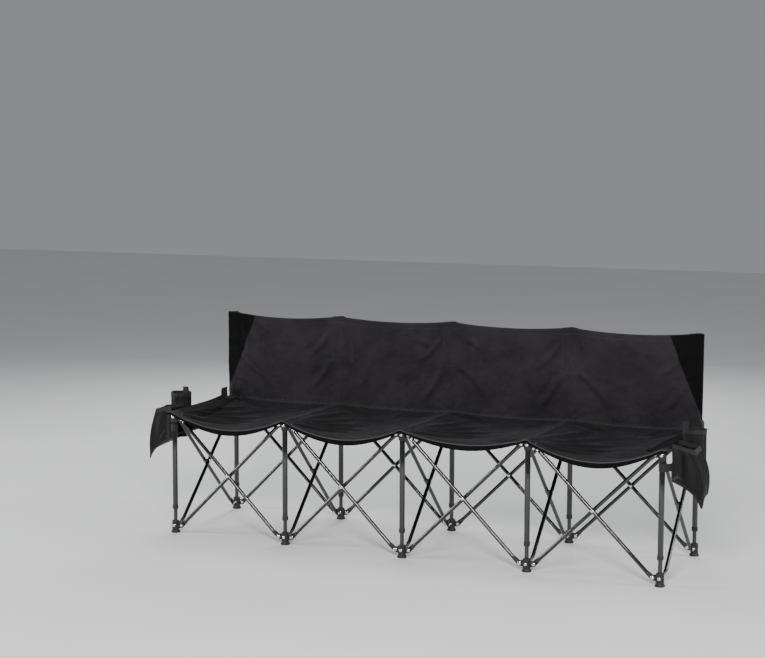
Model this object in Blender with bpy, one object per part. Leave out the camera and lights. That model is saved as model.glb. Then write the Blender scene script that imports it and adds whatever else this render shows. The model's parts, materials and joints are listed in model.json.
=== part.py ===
"""Four-seat folding team bench: a scissor-link steel frame on ten telescoping legs.

X runs along the bench, the seat faces -Y and +Z is up. The origin is on the floor under
the middle of the bench. Stations 1 to 5 run from -X to +X, each with a front and a rear leg.
Every joint has an empty on its axis, parented in the order in which the frame folds.
"""
import math

import bmesh
import bpy
from mathutils import Matrix, Vector

# Frame layout, metres
SEATS = 4
STATIONS = SEATS + 1
CENTRE = 3                      # the station whose front foot stands still as the bench folds
BAY = 0.450                     # leg to leg, along the bench and from front to rear
LUG_REACH = 0.024               # leg axis to link pivot
FOOT_PIVOT_Z = 0.027
PIVOT_RISE = 0.399              # foot pivot to hub pivot with the bench open
HUB_PIVOT_Z = FOOT_PIVOT_Z + PIVOT_RISE
POST_TOP_Z = 0.766
GAP = 0.0003                    # between faces that touch

# Legs
TUBE_R = 0.0095                 # outer leg tube
TUBE_BORE_R = 0.0075
RUNNER_R = 0.0070               # inner leg tube, which slides in the outer one
RUNNER_BORE_R = 0.0055
FERRULE_R = 0.0108
FERRULE_Z = 0.087
FERRULE_HEIGHT = 0.014
RUNNER_TOP_Z = 0.283
TURN_SIDES = 8
TUBE_END = 0.004                # thickness of a tube's closed end

# Feet and hubs
BOSS_R = 0.0135
PAD_R = 0.0170
PAD_THICK = 0.005
PAD_SHOULDER = 0.004            # height over which the pad narrows to its boss
FOOT_TOP_Z = 0.044
HUB_BELOW = 0.020
HUB_ABOVE = 0.013
CHAMFER = 0.001                 # at the bottom edge of a hub
TOP_CHAMFER = 0.002
HUB_CROWN = 0.003               # how far a hub's top edge is drawn in
LUG_R = 0.0095
LUG_THICK = 0.005
LUG_ROOT = 0.0110               # where a lug starts, inside its boss wall
RIVET_R = 0.0045
RIVET_HEAD = 0.0020
RIVET_CROWN = 0.6               # share of its radius that a rivet's crown keeps
RIVET_SUNK = 0.0008             # how deep a rivet's seat lies in a flat face
RIVET_SUNK_ROUND = 0.0006       # and in a round one
RIVET_SIDES = 6

# Scissor links, round tube with flattened ends
LINK_TUBE_R = 0.0065
LINK_TUBE_OFFSET = 0.0080       # tube axis to the plane of the lugs
LINK_RUN = BAY - 2 * LUG_REACH
LINK_LENGTH = math.hypot(LINK_RUN, PIVOT_RISE)
TONGUE_THICK = 0.0030
TONGUE_HALF_WIDTH = 0.0085
TONGUE_NOSE = 0.0085            # tongue beyond its pivot
TONGUE_NOSE_HALF_WIDTH = 0.0030
TONGUE_SHOULDER = 0.0045        # beyond its pivot, where the nose begins
TONGUE_SHOULDER_HALF_WIDTH = 0.0076
TONGUE_FLAT = 0.0100            # flat length inside the pivot
TONGUE_NECK = 0.0280            # pivot to where the tube is round again
SPACER_R = 0.0050
SPACER_SUNK = 0.0020            # how deep a spacer stands in its tube
LINK_SIDES = 8
FLAT = 8                        # squareness of a nearly rectangular section
ROUND = 2                       # and of a round one

# Cloth
CLOTH = 0.004
SEAT_Z = 0.4405                 # underside of the seat over a hub
SEAT_SAG = 0.035
SEAT_FRONT_Y = -0.245
SEAT_REAR_Y = 0.208
SEAT_MIDDLE_Y = (SEAT_FRONT_Y + SEAT_REAR_Y) / 2
SEAT_END = 0.022                # cloth beyond the end legs
SEAT_STEPS = 6                  # facets in one bay
BACK_Y = SEAT_REAR_Y + CLOTH / 2 + 0.0005
BACK_BOTTOM_Z = SEAT_Z + CLOTH + GAP
BACK_TOP_Z = 0.770

# Side organiser, one at each end
PANEL_THICK = 0.003
PANEL_FRONT_Y = -0.205
PANEL_REAR_Y = 0.195
PANEL_BOTTOM_Z = 0.345
PANEL_TOP_Z = 0.462
POUCH_DEEP = 0.106              # how far the mesh pouch stands out
POUCH_REAR_Y = -0.118
POUCH_BOTTOM_Z = 0.256
POUCH_WALL = 0.003
POUCH_INSET = 0.001             # pouch front behind the panel's front edge
POUCH_LIP_DROP = 0.004          # pouch top below the panel's top edge
HOLDER_R = 0.040
HOLDER_WALL = 0.0025
HOLDER_Y = -0.071
HOLDER_BOTTOM_Z = 0.326
HOLDER_TOP_Z = 0.492
HOLDER_SIDES = 16

FRONT = -1
REAR = 1
OUT_X = Vector((1, 0, 0))
OUT_Y = Vector((0, 1, 0))
SMOOTH_ANGLE = math.radians(35)
WELD_DISTANCE = 0.00001
EMPTY_SIZE = 0.02


# ---------------------------------------------------------------- scene and materials

def clear_scene():
    for item in list(bpy.data.objects):
        bpy.data.objects.remove(item, do_unlink=True)


def principled(name, colour, roughness):
    material = bpy.data.materials.new(name)
    material.use_nodes = True
    shader = material.node_tree.nodes["Principled BSDF"]
    shader.inputs["Base Color"].default_value = (*colour, 1.0)
    shader.inputs["Roughness"].default_value = roughness
    return material


def add_linked(name, data, location, parent):
    item = bpy.data.objects.new(name, data)
    bpy.context.collection.objects.link(item)
    item.parent = parent
    item.location = location
    return item


# ---------------------------------------------------------------- mesh helpers

def bridge(bm, low, high):
    """Faces between two rings, either of which may be a single point."""
    count = max(len(low), len(high))
    for i in range(count):
        j = (i + 1) % count
        corners = [low[i % len(low)], low[j % len(low)], high[j % len(high)], high[i % len(high)]]
        unique = list(dict.fromkeys(corners))
        bm.faces.new(unique)


def finish_mesh(name, bm, smooth=True):
    bmesh.ops.recalc_face_normals(bm, faces=bm.faces)
    mesh = bpy.data.meshes.new(name)
    bm.to_mesh(mesh)
    bm.free()
    if smooth:
        mesh.shade_smooth()
        mesh.set_sharp_from_angle(angle=SMOOTH_ANGLE)
    return mesh


def turned(profile, sides, turn=0.0):
    """A solid of revolution about Z from (radius, height) points; radius 0 is a pole."""
    bm = bmesh.new()
    rings = []
    for radius, height in profile:
        if radius == 0:
            rings.append([bm.verts.new((0, 0, height))])
            continue
        ring = []
        for i in range(sides):
            angle = turn + 2 * math.pi * i / sides
            ring.append(bm.verts.new((radius * math.cos(angle), radius * math.sin(angle), height)))
        rings.append(ring)
    for low, high in zip(rings, rings[1:]):
        bridge(bm, low, high)
    return bm


def lofted(sections):
    """A closed skin through rings of points, with both ends capped."""
    bm = bmesh.new()
    rings = [[bm.verts.new(point) for point in section] for section in sections]
    for low, high in zip(rings, rings[1:]):
        bridge(bm, low, high)
    bm.faces.new(rings[0])
    bm.faces.new(rings[-1])
    return bm


def extruded(outline, thickness):
    """A plate in the XZ plane, centred on Y, from (x, z) points."""
    half = thickness / 2
    near = [Vector((x, -half, z)) for x, z in outline]
    far = [Vector((x, half, z)) for x, z in outline]
    return lofted([near, far])


def combine(base, others, operation="UNION"):
    """The base mesh after one exact Boolean with each of the other meshes."""
    target = bpy.data.objects.new("combine_target", base)
    bpy.context.collection.objects.link(target)
    tools = []
    for mesh in others:
        tool = bpy.data.objects.new("combine_tool", mesh)
        bpy.context.collection.objects.link(tool)
        modifier = target.modifiers.new("combine", "BOOLEAN")
        modifier.operation = operation
        modifier.solver = "EXACT"
        modifier.object = tool
        tools.append(tool)
    depsgraph = bpy.context.evaluated_depsgraph_get()
    result = bpy.data.meshes.new_from_object(target.evaluated_get(depsgraph))
    for item in tools + [target]:
        bpy.data.objects.remove(item, do_unlink=True)
    result.materials.clear()
    return result


def moved(mesh, matrix):
    mesh.transform(matrix)
    return mesh


# ---------------------------------------------------------------- fittings

def rivet_head():
    """A rivet's head standing on +Y, its seat sunk a little into what it holds."""
    profile = [
        (0, -RIVET_SUNK), (RIVET_R, -RIVET_SUNK), (RIVET_R, RIVET_HEAD / 2),
        (RIVET_R * RIVET_CROWN, RIVET_HEAD), (0, RIVET_HEAD),
    ]
    mesh = finish_mesh("rivet_head", turned(profile, RIVET_SIDES))
    return moved(mesh, Matrix.Rotation(-math.pi / 2, 4, "X"))


def lug(steps=4):
    """A hub's lug along +X in the XZ plane, its pivot at LUG_REACH."""
    outline = [(LUG_ROOT, LUG_R), (LUG_ROOT, -LUG_R)]
    for i in range(steps + 1):
        angle = -math.pi / 2 + math.pi * i / steps
        outline.append((LUG_REACH + LUG_R * math.cos(angle), LUG_R * math.sin(angle)))
    return finish_mesh("lug", extruded(outline, LUG_THICK))


def lug_headings(station, row):
    """Turns about Z for the lugs of one hub: along the bench, and inwards to the other row."""
    headings = [-row * math.pi / 2]
    if station < STATIONS:
        headings.append(0.0)
    if station > 1:
        headings.append(math.pi)
    return headings


def fittings(station, row, height):
    """Lugs and the leg's cross rivet for a hub at one height, centred on the leg."""
    lift = Matrix.Translation((0, 0, height))
    shapes = []
    for heading in lug_headings(station, row):
        shapes.append(moved(lug(), lift @ Matrix.Rotation(heading, 4, "Z")))
    facing = Matrix.Rotation(0 if row > 0 else math.pi, 4, "Z")
    cross = Matrix.Translation((0, BOSS_R - RIVET_SUNK_ROUND, 0))
    shapes.append(moved(rivet_head(), lift @ facing @ cross))
    return shapes


def foot_mesh(station, row):
    """A moulded foot with the inner leg tube fixed in it."""
    profile = [
        (0, 0), (PAD_R, 0), (PAD_R, PAD_THICK), (BOSS_R, PAD_THICK + PAD_SHOULDER),
        (BOSS_R, FOOT_TOP_Z - TOP_CHAMFER), (BOSS_R - TOP_CHAMFER, FOOT_TOP_Z),
        (RUNNER_R, FOOT_TOP_Z), (RUNNER_R, RUNNER_TOP_Z), (RUNNER_BORE_R, RUNNER_TOP_Z),
        (RUNNER_BORE_R, FOOT_TOP_Z + TUBE_END), (0, FOOT_TOP_Z + TUBE_END),
    ]
    body = finish_mesh("foot_body", turned(profile, TURN_SIDES))
    return combine(body, fittings(station, row, FOOT_PIVOT_Z))


def hub_mesh(station, row):
    """A front hub: boss and lugs, with a blind socket for the leg tube."""
    low = -HUB_BELOW
    profile = [
        (0, low), (BOSS_R - CHAMFER, low), (BOSS_R, low + CHAMFER),
        (BOSS_R, HUB_ABOVE - TOP_CHAMFER), (BOSS_R - HUB_CROWN, HUB_ABOVE), (0, HUB_ABOVE),
    ]
    body = finish_mesh("hub_body", turned(profile, TURN_SIDES))
    solid = combine(body, fittings(station, row, 0.0))
    reach = TUBE_R + GAP
    roof = HUB_ABOVE - TUBE_END
    socket = [(0, low - CHAMFER), (reach, low - CHAMFER), (reach, roof), (0, roof)]
    return combine(solid, [finish_mesh("socket", turned(socket, TURN_SIDES))], "DIFFERENCE")


def front_tube_mesh():
    """A front leg's outer tube, from its ferrule up into the hub's socket."""
    return closed_tube(HUB_PIVOT_Z + HUB_ABOVE - TUBE_END - GAP)


def closed_tube(top):
    """A turned tube whose bore is open at the bottom and closed at the top."""
    ferrule_top = FERRULE_Z + FERRULE_HEIGHT
    profile = [
        (0, top - TUBE_END), (TUBE_BORE_R, top - TUBE_END), (TUBE_BORE_R, FERRULE_Z),
        (FERRULE_R, FERRULE_Z), (FERRULE_R, ferrule_top - CHAMFER), (TUBE_R, ferrule_top),
        (TUBE_R, top), (0, top),
    ]
    mesh = finish_mesh("leg_tube", turned(profile, TURN_SIDES))
    return moved(mesh, Matrix.Translation((0, 0, -HUB_PIVOT_Z)))


def rear_post_mesh(station):
    """A rear leg's outer tube with its hub, carried on up as a backrest post."""
    low = -HUB_BELOW
    root = TUBE_R - CHAMFER
    wall = [
        (root, low), (BOSS_R - CHAMFER, low), (BOSS_R, low + CHAMFER),
        (BOSS_R, HUB_ABOVE - TOP_CHAMFER), (BOSS_R - HUB_CROWN, HUB_ABOVE), (root, HUB_ABOVE),
        (root, low),
    ]
    collar = finish_mesh("collar", turned(wall, TURN_SIDES))
    weld(collar)
    return combine(closed_tube(POST_TOP_Z), [collar] + fittings(station, REAR, 0.0))


def weld(mesh):
    """Closes the ring where a turned wall's profile comes back to its start."""
    bm = bmesh.new()
    bm.from_mesh(mesh)
    bmesh.ops.remove_doubles(bm, verts=bm.verts, dist=WELD_DISTANCE)
    bmesh.ops.recalc_face_normals(bm, faces=bm.faces)
    bm.to_mesh(mesh)
    bm.free()


# ---------------------------------------------------------------- links

def link_section(x, centre, half_thick, half_width, squareness):
    """One ring of a link: a superellipse, round or nearly a rectangle."""
    ring = []
    for i in range(LINK_SIDES):
        angle = 2 * math.pi * (i + 0.5) / LINK_SIDES
        c = math.cos(angle)
        s = math.sin(angle)
        y = math.copysign(abs(c) ** (2 / squareness), c)
        z = math.copysign(abs(s) ** (2 / squareness), s)
        ring.append((x, centre + half_thick * y, half_width * z))
    return ring


def link_mesh():
    """A link along X with its middle rivet at the origin and the lugs' plane at Y = 0."""
    half = LINK_LENGTH / 2
    tongue_y = LUG_THICK / 2 + GAP + TONGUE_THICK / 2
    thin = TONGUE_THICK / 2
    end = [
        (half + TONGUE_NOSE, tongue_y, thin, TONGUE_NOSE_HALF_WIDTH, FLAT),
        (half + TONGUE_SHOULDER, tongue_y, thin, TONGUE_SHOULDER_HALF_WIDTH, FLAT),
        (half - TONGUE_FLAT, tongue_y, thin, TONGUE_HALF_WIDTH, FLAT),
        (half - TONGUE_NECK, LINK_TUBE_OFFSET, LINK_TUBE_R, LINK_TUBE_R, ROUND),
    ]
    sections = [link_section(-x, *rest) for x, *rest in end]
    sections += [link_section(x, *rest) for x, *rest in reversed(end)]
    body = finish_mesh("link_body", lofted(sections))
    heads = []
    for x in (-half, half):
        heads.append(moved(rivet_head(), Matrix.Translation((x, tongue_y + thin, 0))))
    crown = LINK_TUBE_OFFSET + LINK_TUBE_R - RIVET_SUNK_ROUND
    heads.append(moved(rivet_head(), Matrix.Translation((0, crown, 0))))
    heads.append(spacer())
    return combine(body, heads)


def spacer():
    """Half of the washer between two crossing links, on the side that faces the other link."""
    root = LINK_TUBE_OFFSET - LINK_TUBE_R + SPACER_SUNK
    profile = [(0, GAP / 2), (SPACER_R, GAP / 2), (SPACER_R, root), (0, root)]
    mesh = finish_mesh("spacer", turned(profile, RIVET_SIDES))
    return moved(mesh, Matrix.Rotation(-math.pi / 2, 4, "X"))


def link_matrix(low, high, side):
    """Places a link from its foot pivot to its hub pivot, its tube on the given side."""
    along = (high - low).normalized()
    up = along.cross(side)
    turn = Matrix((along, side, up)).transposed().to_4x4()
    return Matrix.Translation((low + high) / 2) @ turn


# ---------------------------------------------------------------- cloth

def scallop(x):
    """How far the seat hangs below its hubs at a place along the bench."""
    return SEAT_SAG * math.sin(math.pi * x / BAY) ** 2


def seat_outline():
    """The seat's section along the bench as (x, z), its top edge then its bottom edge."""
    reach = SEATS * BAY / 2
    inner = [-reach + BAY * i / SEAT_STEPS for i in range(SEATS * SEAT_STEPS + 1)]
    xs = [-reach - SEAT_END] + inner + [reach + SEAT_END]
    under = [(x, SEAT_Z - (scallop(x) if abs(x) < reach else 0.0)) for x in xs]
    over = [(x, z + CLOTH) for x, z in reversed(under)]
    return under + over


def seat_mesh(name, near_y, far_y):
    outline = seat_outline()
    near = [Vector((x, near_y, z)) for x, z in outline]
    far = [Vector((x, far_y, z)) for x, z in outline]
    return finish_mesh(name, lofted([near, far]), smooth=False)


def back_mesh():
    """The backrest panel in front of the posts."""
    end = SEATS * BAY / 2 + SEAT_END
    outline = [(-end, BACK_BOTTOM_Z), (end, BACK_BOTTOM_Z), (end, BACK_TOP_Z), (-end, BACK_TOP_Z)]
    mesh = finish_mesh("backrest", extruded(outline, CLOTH), smooth=False)
    return moved(mesh, Matrix.Translation((0, BACK_Y, 0)))


def box_mesh(name, low, high):
    bm = bmesh.new()
    bmesh.ops.create_cube(bm, size=1.0)
    size = Vector(high) - Vector(low)
    middle = (Vector(high) + Vector(low)) / 2
    bmesh.ops.scale(bm, vec=size, verts=bm.verts)
    bmesh.ops.translate(bm, vec=middle, verts=bm.verts)
    return finish_mesh(name, bm, smooth=False)


def panel_face_x():
    """The outer face of an end's organiser panel, as a distance from the bench's middle."""
    return SEATS * BAY / 2 + SEAT_END + GAP + PANEL_THICK


def pouch_mesh(end):
    """A side organiser at one end: a flat panel and an open mesh pouch outside it."""
    face = panel_face_x()
    outer = face + POUCH_DEEP
    front_y = PANEL_FRONT_Y + POUCH_INSET
    panel = box_mesh("panel", (face - PANEL_THICK, PANEL_FRONT_Y, PANEL_BOTTOM_Z),
                     (face, PANEL_REAR_Y, PANEL_TOP_Z))
    bag = box_mesh("bag", (face - PANEL_THICK / 2, front_y, POUCH_BOTTOM_Z),
                   (outer, POUCH_REAR_Y, PANEL_TOP_Z - POUCH_LIP_DROP))
    room = box_mesh("room", (face + GAP, front_y + POUCH_WALL, POUCH_BOTTOM_Z + POUCH_WALL),
                    (outer - POUCH_WALL, POUCH_REAR_Y - POUCH_WALL, PANEL_TOP_Z + POUCH_WALL))
    solid = combine(combine(panel, [bag]), [room], "DIFFERENCE")
    if end < 0:
        return turned_over(solid)
    return solid


def turned_over(mesh):
    """The mirror image of a mesh across X = 0."""
    bm = bmesh.new()
    bm.from_mesh(mesh)
    bmesh.ops.scale(bm, vec=(-1, 1, 1), verts=bm.verts)
    bmesh.ops.reverse_faces(bm, faces=bm.faces)
    bm.to_mesh(mesh)
    bm.free()
    return mesh


def holder_mesh(end):
    """A bottle sleeve, open at the top, hung outside an end panel."""
    inside = HOLDER_R - HOLDER_WALL
    profile = [
        (0, HOLDER_BOTTOM_Z), (HOLDER_R, HOLDER_BOTTOM_Z), (HOLDER_R, HOLDER_TOP_Z),
        (inside, HOLDER_TOP_Z), (inside, HOLDER_BOTTOM_Z + HOLDER_WALL), (0, HOLDER_BOTTOM_Z + HOLDER_WALL),
    ]
    mesh = finish_mesh("holder", turned(profile, HOLDER_SIDES, math.pi / HOLDER_SIDES))
    x = end * (panel_face_x() + GAP + HOLDER_R)
    return moved(mesh, Matrix.Translation((x, HOLDER_Y, 0)))


# ---------------------------------------------------------------- assembly

def station_x(station):
    return (station - CENTRE) * BAY


def leg_at(station, row, height=0.0):
    return Vector((station_x(station), row * BAY / 2, height))


def bay_pivots(bay, row):
    """The four link pivots of a bay: low left, high left, low right, high right."""
    left = station_x(bay) + LUG_REACH
    right = station_x(bay + 1) - LUG_REACH
    y = row * BAY / 2
    return [Vector((x, y, z)) for x in (left, right) for z in (FOOT_PIVOT_Z, HUB_PIVOT_Z)]


def depth_pivots(station):
    """The four link pivots of a side scissor: low and high in front, low and high behind."""
    reach = BAY / 2 - LUG_REACH
    x = station_x(station)
    return [Vector((x, y, z)) for y in (-reach, reach) for z in (FOOT_PIVOT_Z, HUB_PIVOT_Z)]


class Bench:
    """Builds the pieces body by body, keeping each body's empty and where its joint is."""

    def __init__(self):
        self.empties = {}
        self.pivots = {}
        self.paint = principled("gloss black powder coat", (0.012, 0.012, 0.014), 0.28)
        self.plastic = principled("black nylon moulding", (0.020, 0.020, 0.022), 0.5)
        self.cloth = principled("black polyester canvas", (0.018, 0.017, 0.019), 0.9)
        self.mesh_cloth = principled("black mesh", (0.012, 0.012, 0.013), 0.85)
        self.link = link_mesh()

    def joint(self, name, pivot, parent=None):
        """An empty on a joint's axis; turning it folds everything beyond that joint."""
        pivot = Vector(pivot)
        offset = pivot - self.pivots.get(parent, Vector())
        self.empties[name] = add_linked("joint_" + name, None, offset, self.empties.get(parent))
        self.empties[name].empty_display_size = EMPTY_SIZE
        self.pivots[name] = pivot

    def piece(self, name, mesh, material, body, world=None):
        """One named piece at its world matrix, under its body's empty."""
        if not mesh.materials:
            mesh.materials.append(material)
        item = add_linked(name, mesh, (0, 0, 0), self.empties[body])
        item.matrix_local = Matrix.Translation(-self.pivots[body]) @ (world or Matrix.Identity(4))

    def foot(self, row, station, pivot, parent):
        name = ("front" if row == FRONT else "rear") + f"_foot_{station}"
        self.joint(name, pivot, parent)
        self.piece(name, foot_mesh(station, row), self.plastic, name,
                   Matrix.Translation(leg_at(station, row)))

    def hub(self, row, station, pivot, parent):
        at = Matrix.Translation(leg_at(station, row, HUB_PIVOT_Z))
        if row == FRONT:
            self.joint(f"front_hub_{station}", pivot, parent)
            self.piece(f"front_hub_{station}", hub_mesh(station, row), self.plastic,
                       f"front_hub_{station}", at)
            self.piece(f"front_tube_{station}", front_tube_mesh(), self.paint,
                       f"front_hub_{station}", at)
            return
        self.joint(f"rear_post_{station}", pivot, parent)
        self.piece(f"rear_post_{station}", rear_post_mesh(station), self.paint,
                   f"rear_post_{station}", at)

    def scissor_link(self, name, low, high, side, pivot, parent):
        self.joint(name, pivot, parent)
        self.piece(name, self.link, self.paint, name, link_matrix(low, high, side))

    def front_bay(self, bay):
        """A front bay's two links and, away from the centre, the next foot and hub."""
        low_left, high_left, low_right, high_right = bay_pivots(bay, FRONT)
        middle = (low_left + high_right) / 2
        up, down = f"front_link_up_{bay}", f"front_link_down_{bay}"
        if bay >= CENTRE:
            self.scissor_link(up, low_left, high_right, OUT_Y, low_left, f"front_foot_{bay}")
            self.scissor_link(down, low_right, high_left, -OUT_Y, middle, up)
            self.foot(FRONT, bay + 1, low_right, down)
            self.hub(FRONT, bay + 1, high_right, up)
            return
        self.scissor_link(down, low_right, high_left, -OUT_Y, low_right, f"front_foot_{bay + 1}")
        self.scissor_link(up, low_left, high_right, OUT_Y, middle, down)
        self.foot(FRONT, bay, low_left, up)
        self.hub(FRONT, bay, high_left, down)

    def side_scissor(self, station):
        """A station's two front-to-rear links with its rear foot and post."""
        low_front, high_front, low_rear, high_rear = depth_pivots(station)
        middle = (low_front + high_rear) / 2
        rising, falling = f"side_link_rising_{station}", f"side_link_falling_{station}"
        self.scissor_link(rising, low_front, high_rear, OUT_X, low_front, f"front_foot_{station}")
        self.scissor_link(falling, low_rear, high_front, -OUT_X, middle, rising)
        self.foot(REAR, station, low_rear, falling)
        self.hub(REAR, station, high_rear, rising)

    def rear_bay(self, bay):
        """A rear bay's two links, hinged on its left foot."""
        low_left, high_left, low_right, high_right = bay_pivots(bay, REAR)
        middle = (low_left + high_right) / 2
        up, down = f"rear_link_up_{bay}", f"rear_link_down_{bay}"
        self.scissor_link(up, low_left, high_right, OUT_Y, low_left, f"rear_foot_{bay}")
        self.scissor_link(down, low_right, high_left, -OUT_Y, middle, up)

    def frame(self):
        self.foot(FRONT, CENTRE, leg_at(CENTRE, FRONT), None)
        for bay in (CENTRE, CENTRE + 1, CENTRE - 1, CENTRE - 2):
            self.front_bay(bay)
        high_left = bay_pivots(CENTRE, FRONT)[1]
        self.hub(FRONT, CENTRE, high_left, f"front_link_down_{CENTRE}")
        for station in range(1, STATIONS + 1):
            self.side_scissor(station)
        for bay in range(1, SEATS + 1):
            self.rear_bay(bay)

    def covers(self):
        """The seat in two halves that fold up, the backrest and the side organisers."""
        hinge_z = SEAT_Z + CLOTH / 2
        self.joint("seat_front", (0, SEAT_FRONT_Y, hinge_z), f"front_hub_{CENTRE}")
        front = seat_mesh("seat_front", SEAT_FRONT_Y, SEAT_MIDDLE_Y - GAP / 2)
        self.piece("seat_front", front, self.cloth, "seat_front")
        self.joint("seat_rear", (0, SEAT_REAR_Y, hinge_z), f"rear_post_{CENTRE}")
        rear = seat_mesh("seat_rear", SEAT_MIDDLE_Y + GAP / 2, SEAT_REAR_Y)
        self.piece("seat_rear", rear, self.cloth, "seat_rear")
        self.piece("backrest", back_mesh(), self.cloth, f"rear_post_{CENTRE}")
        for side, end, station in (("left", -1, 1), ("right", 1, STATIONS)):
            self.piece(f"side_pouch_{side}", pouch_mesh(end), self.mesh_cloth, f"front_hub_{station}")
            self.piece(f"bottle_sleeve_{side}", holder_mesh(end), self.cloth, f"front_hub_{station}")


clear_scene()
bench = Bench()
bench.frame()
bench.covers()
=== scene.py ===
"""The looks of the folding team bench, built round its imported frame.

Every place and size comes from the frame: the joints' pivots and the nodes' boxes. Cloth is one
sheet, simulated over the hubs and posts, then cut into the seat's two halves and the backrest.
"""
import json
import math

import bmesh
import bpy
import numpy as np
from mathutils import Matrix, Vector


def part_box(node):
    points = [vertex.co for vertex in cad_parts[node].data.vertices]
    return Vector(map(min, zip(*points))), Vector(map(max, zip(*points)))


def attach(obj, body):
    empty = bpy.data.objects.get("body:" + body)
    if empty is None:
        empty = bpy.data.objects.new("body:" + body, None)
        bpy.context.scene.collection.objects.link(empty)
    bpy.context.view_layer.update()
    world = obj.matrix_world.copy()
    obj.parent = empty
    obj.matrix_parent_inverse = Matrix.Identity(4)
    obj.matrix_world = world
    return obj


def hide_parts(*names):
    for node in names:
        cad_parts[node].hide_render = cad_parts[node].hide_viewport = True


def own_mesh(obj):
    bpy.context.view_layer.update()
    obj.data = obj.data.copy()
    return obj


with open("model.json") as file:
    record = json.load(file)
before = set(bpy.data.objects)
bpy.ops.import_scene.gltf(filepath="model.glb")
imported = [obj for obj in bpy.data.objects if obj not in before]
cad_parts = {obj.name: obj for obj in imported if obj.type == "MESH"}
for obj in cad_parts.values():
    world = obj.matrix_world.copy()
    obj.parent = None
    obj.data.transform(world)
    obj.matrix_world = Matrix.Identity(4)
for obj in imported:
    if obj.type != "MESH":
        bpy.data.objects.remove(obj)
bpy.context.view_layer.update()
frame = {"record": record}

JOINTS = {j["name"]: j for j in frame["record"]["behaviour"]["joints"]}
STATIONS = range(1, 6)
BAYS = range(1, 5)
CENTRE = 3


def pivot(joint):
    return Vector(JOINTS[joint]["pos_m"])


# ---------------------------------------------------------------- layout, read from the frame

FRONT_Y = pivot("fold").y
REAR_Y = -FRONT_Y
FOOT_Z = pivot("fold").z
HUB_Z = pivot("front_hub_4_pivot").z
BAY = pivot("front_link_up_4_at_foot").x - pivot("fold").x
LUG_REACH = pivot("fold").x
LINK_LENGTH = (pivot("front_hub_4_pivot") - pivot("fold")).length
HUB_TOP_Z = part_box("front_hub_3")[1][2]
FERRULE_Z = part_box("front_tube_3")[0][2]
RUNNER_TOP_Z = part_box("front_foot_3")[1][2]
POST_TOP_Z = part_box("rear_post_3")[1][2]
SEAT_FRONT_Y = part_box("seat_front")[0][1]
SEAT_SPLIT_Y = (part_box("seat_front")[1][1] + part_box("seat_rear")[0][1]) / 2
SEAT_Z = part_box("seat_front")[1][2] - 0.002
SEAT_END_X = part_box("seat_front")[1][0]
BACK_Y = (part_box("backrest")[0][1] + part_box("backrest")[1][1]) / 2
BACK_TOP_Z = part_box("backrest")[1][2]

# Details the frame leaves to the looks, metres
TUBE_R = 0.0095
RUNNER_R = 0.0070
LINK_R = 0.0065
LINK_OFFSET = 0.0080            # link tube axis to the plane of the lugs
TONGUE_Y = 0.0043
TONGUE_HALF_THICK = 0.0015
TONGUE_HALF_WIDTH = 0.0085
LUG_HALF_THICK = 0.0025
BOSS_R = 0.0132
RIVET_R = 0.0052
CLOTH_THICK = 0.0012
HEM_THICK = 0.0034
HEM_WIDTH = 0.024

OUT_X = Vector((1, 0, 0))
OUT_Y = Vector((0, 1, 0))


def station_x(station):
    return (station - CENTRE) * BAY


def leg_at(station, row_y, z):
    return Vector((station_x(station), row_y, z))


# ---------------------------------------------------------------- camera and light

CAMERA_AT = (2.223, -5.277, 1.372)
CAMERA_YAW, CAMERA_PITCH, CAMERA_ROLL = (math.radians(a) for a in (24.46, 6.07, 0.15))
SENSOR_MM = 36.0
LENS_MM = 77.55
VIEW_END = 60.0
FLOOR_HALF = 14
SKY = (0.88, 0.91, 0.96)
SKY_STRENGTH = 0.30
WHITE = (1, 1, 1)
COOL = (0.97, 0.985, 1.0)

# Each light's name, place, what it faces, size, watts, colour and roll in degrees
SOFTBOXES = (
    ("key", (1.7, -4.4, 2.8), (0.1, 0, 0.35), (2.3, 0.55), 290, (1.0, 0.99, 0.97), -28),
    ("low left", (-4.2, -1.7, 1.5), (0, 0.1, 0.5), (0.5, 1.3), 95, COOL, 0),
    ("overhead", (-1.8, 1.6, 3.6), (0, 0, 0.2), (3.0, 1.6), 50, COOL, 0),
    ("door", (3.9, 0.4, 1.7), (0, 0, 0.45), (0.8, 1.2), 55, (0.95, 0.975, 1.0), 0),
    ("rim", (-1.4, 3.8, 2.4), (0, 0, 0.5), (2.0, 0.8), 60, WHITE, 0),
)


def make_camera():
    """The photograph's viewpoint, from the bench's right front, a little above its back."""
    data = bpy.data.cameras.new("camera")
    data.sensor_width = SENSOR_MM
    data.lens = LENS_MM
    data.clip_end = VIEW_END
    camera = bpy.data.objects.new("camera", data)
    camera.location = CAMERA_AT
    turn = Matrix.Rotation(CAMERA_YAW, 3, "Z") @ Matrix.Rotation(math.pi / 2 - CAMERA_PITCH, 3, "X")
    camera.rotation_euler = (turn @ Matrix.Rotation(CAMERA_ROLL, 3, "Z")).to_euler()
    bpy.context.collection.objects.link(camera)
    bpy.context.scene.camera = camera


def softbox(name, location, target, size, power, colour, roll):
    data = bpy.data.lights.new(name, "AREA")
    data.shape = "RECTANGLE"
    data.size, data.size_y = size
    data.energy = power
    data.color = colour
    light = bpy.data.objects.new(name, data)
    light.location = location
    facing = (Vector(target) - Vector(location)).to_track_quat("-Z", "Y").to_matrix()
    light.rotation_euler = (facing @ Matrix.Rotation(math.radians(roll), 3, "Z")).to_euler()
    bpy.context.collection.objects.link(light)


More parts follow.
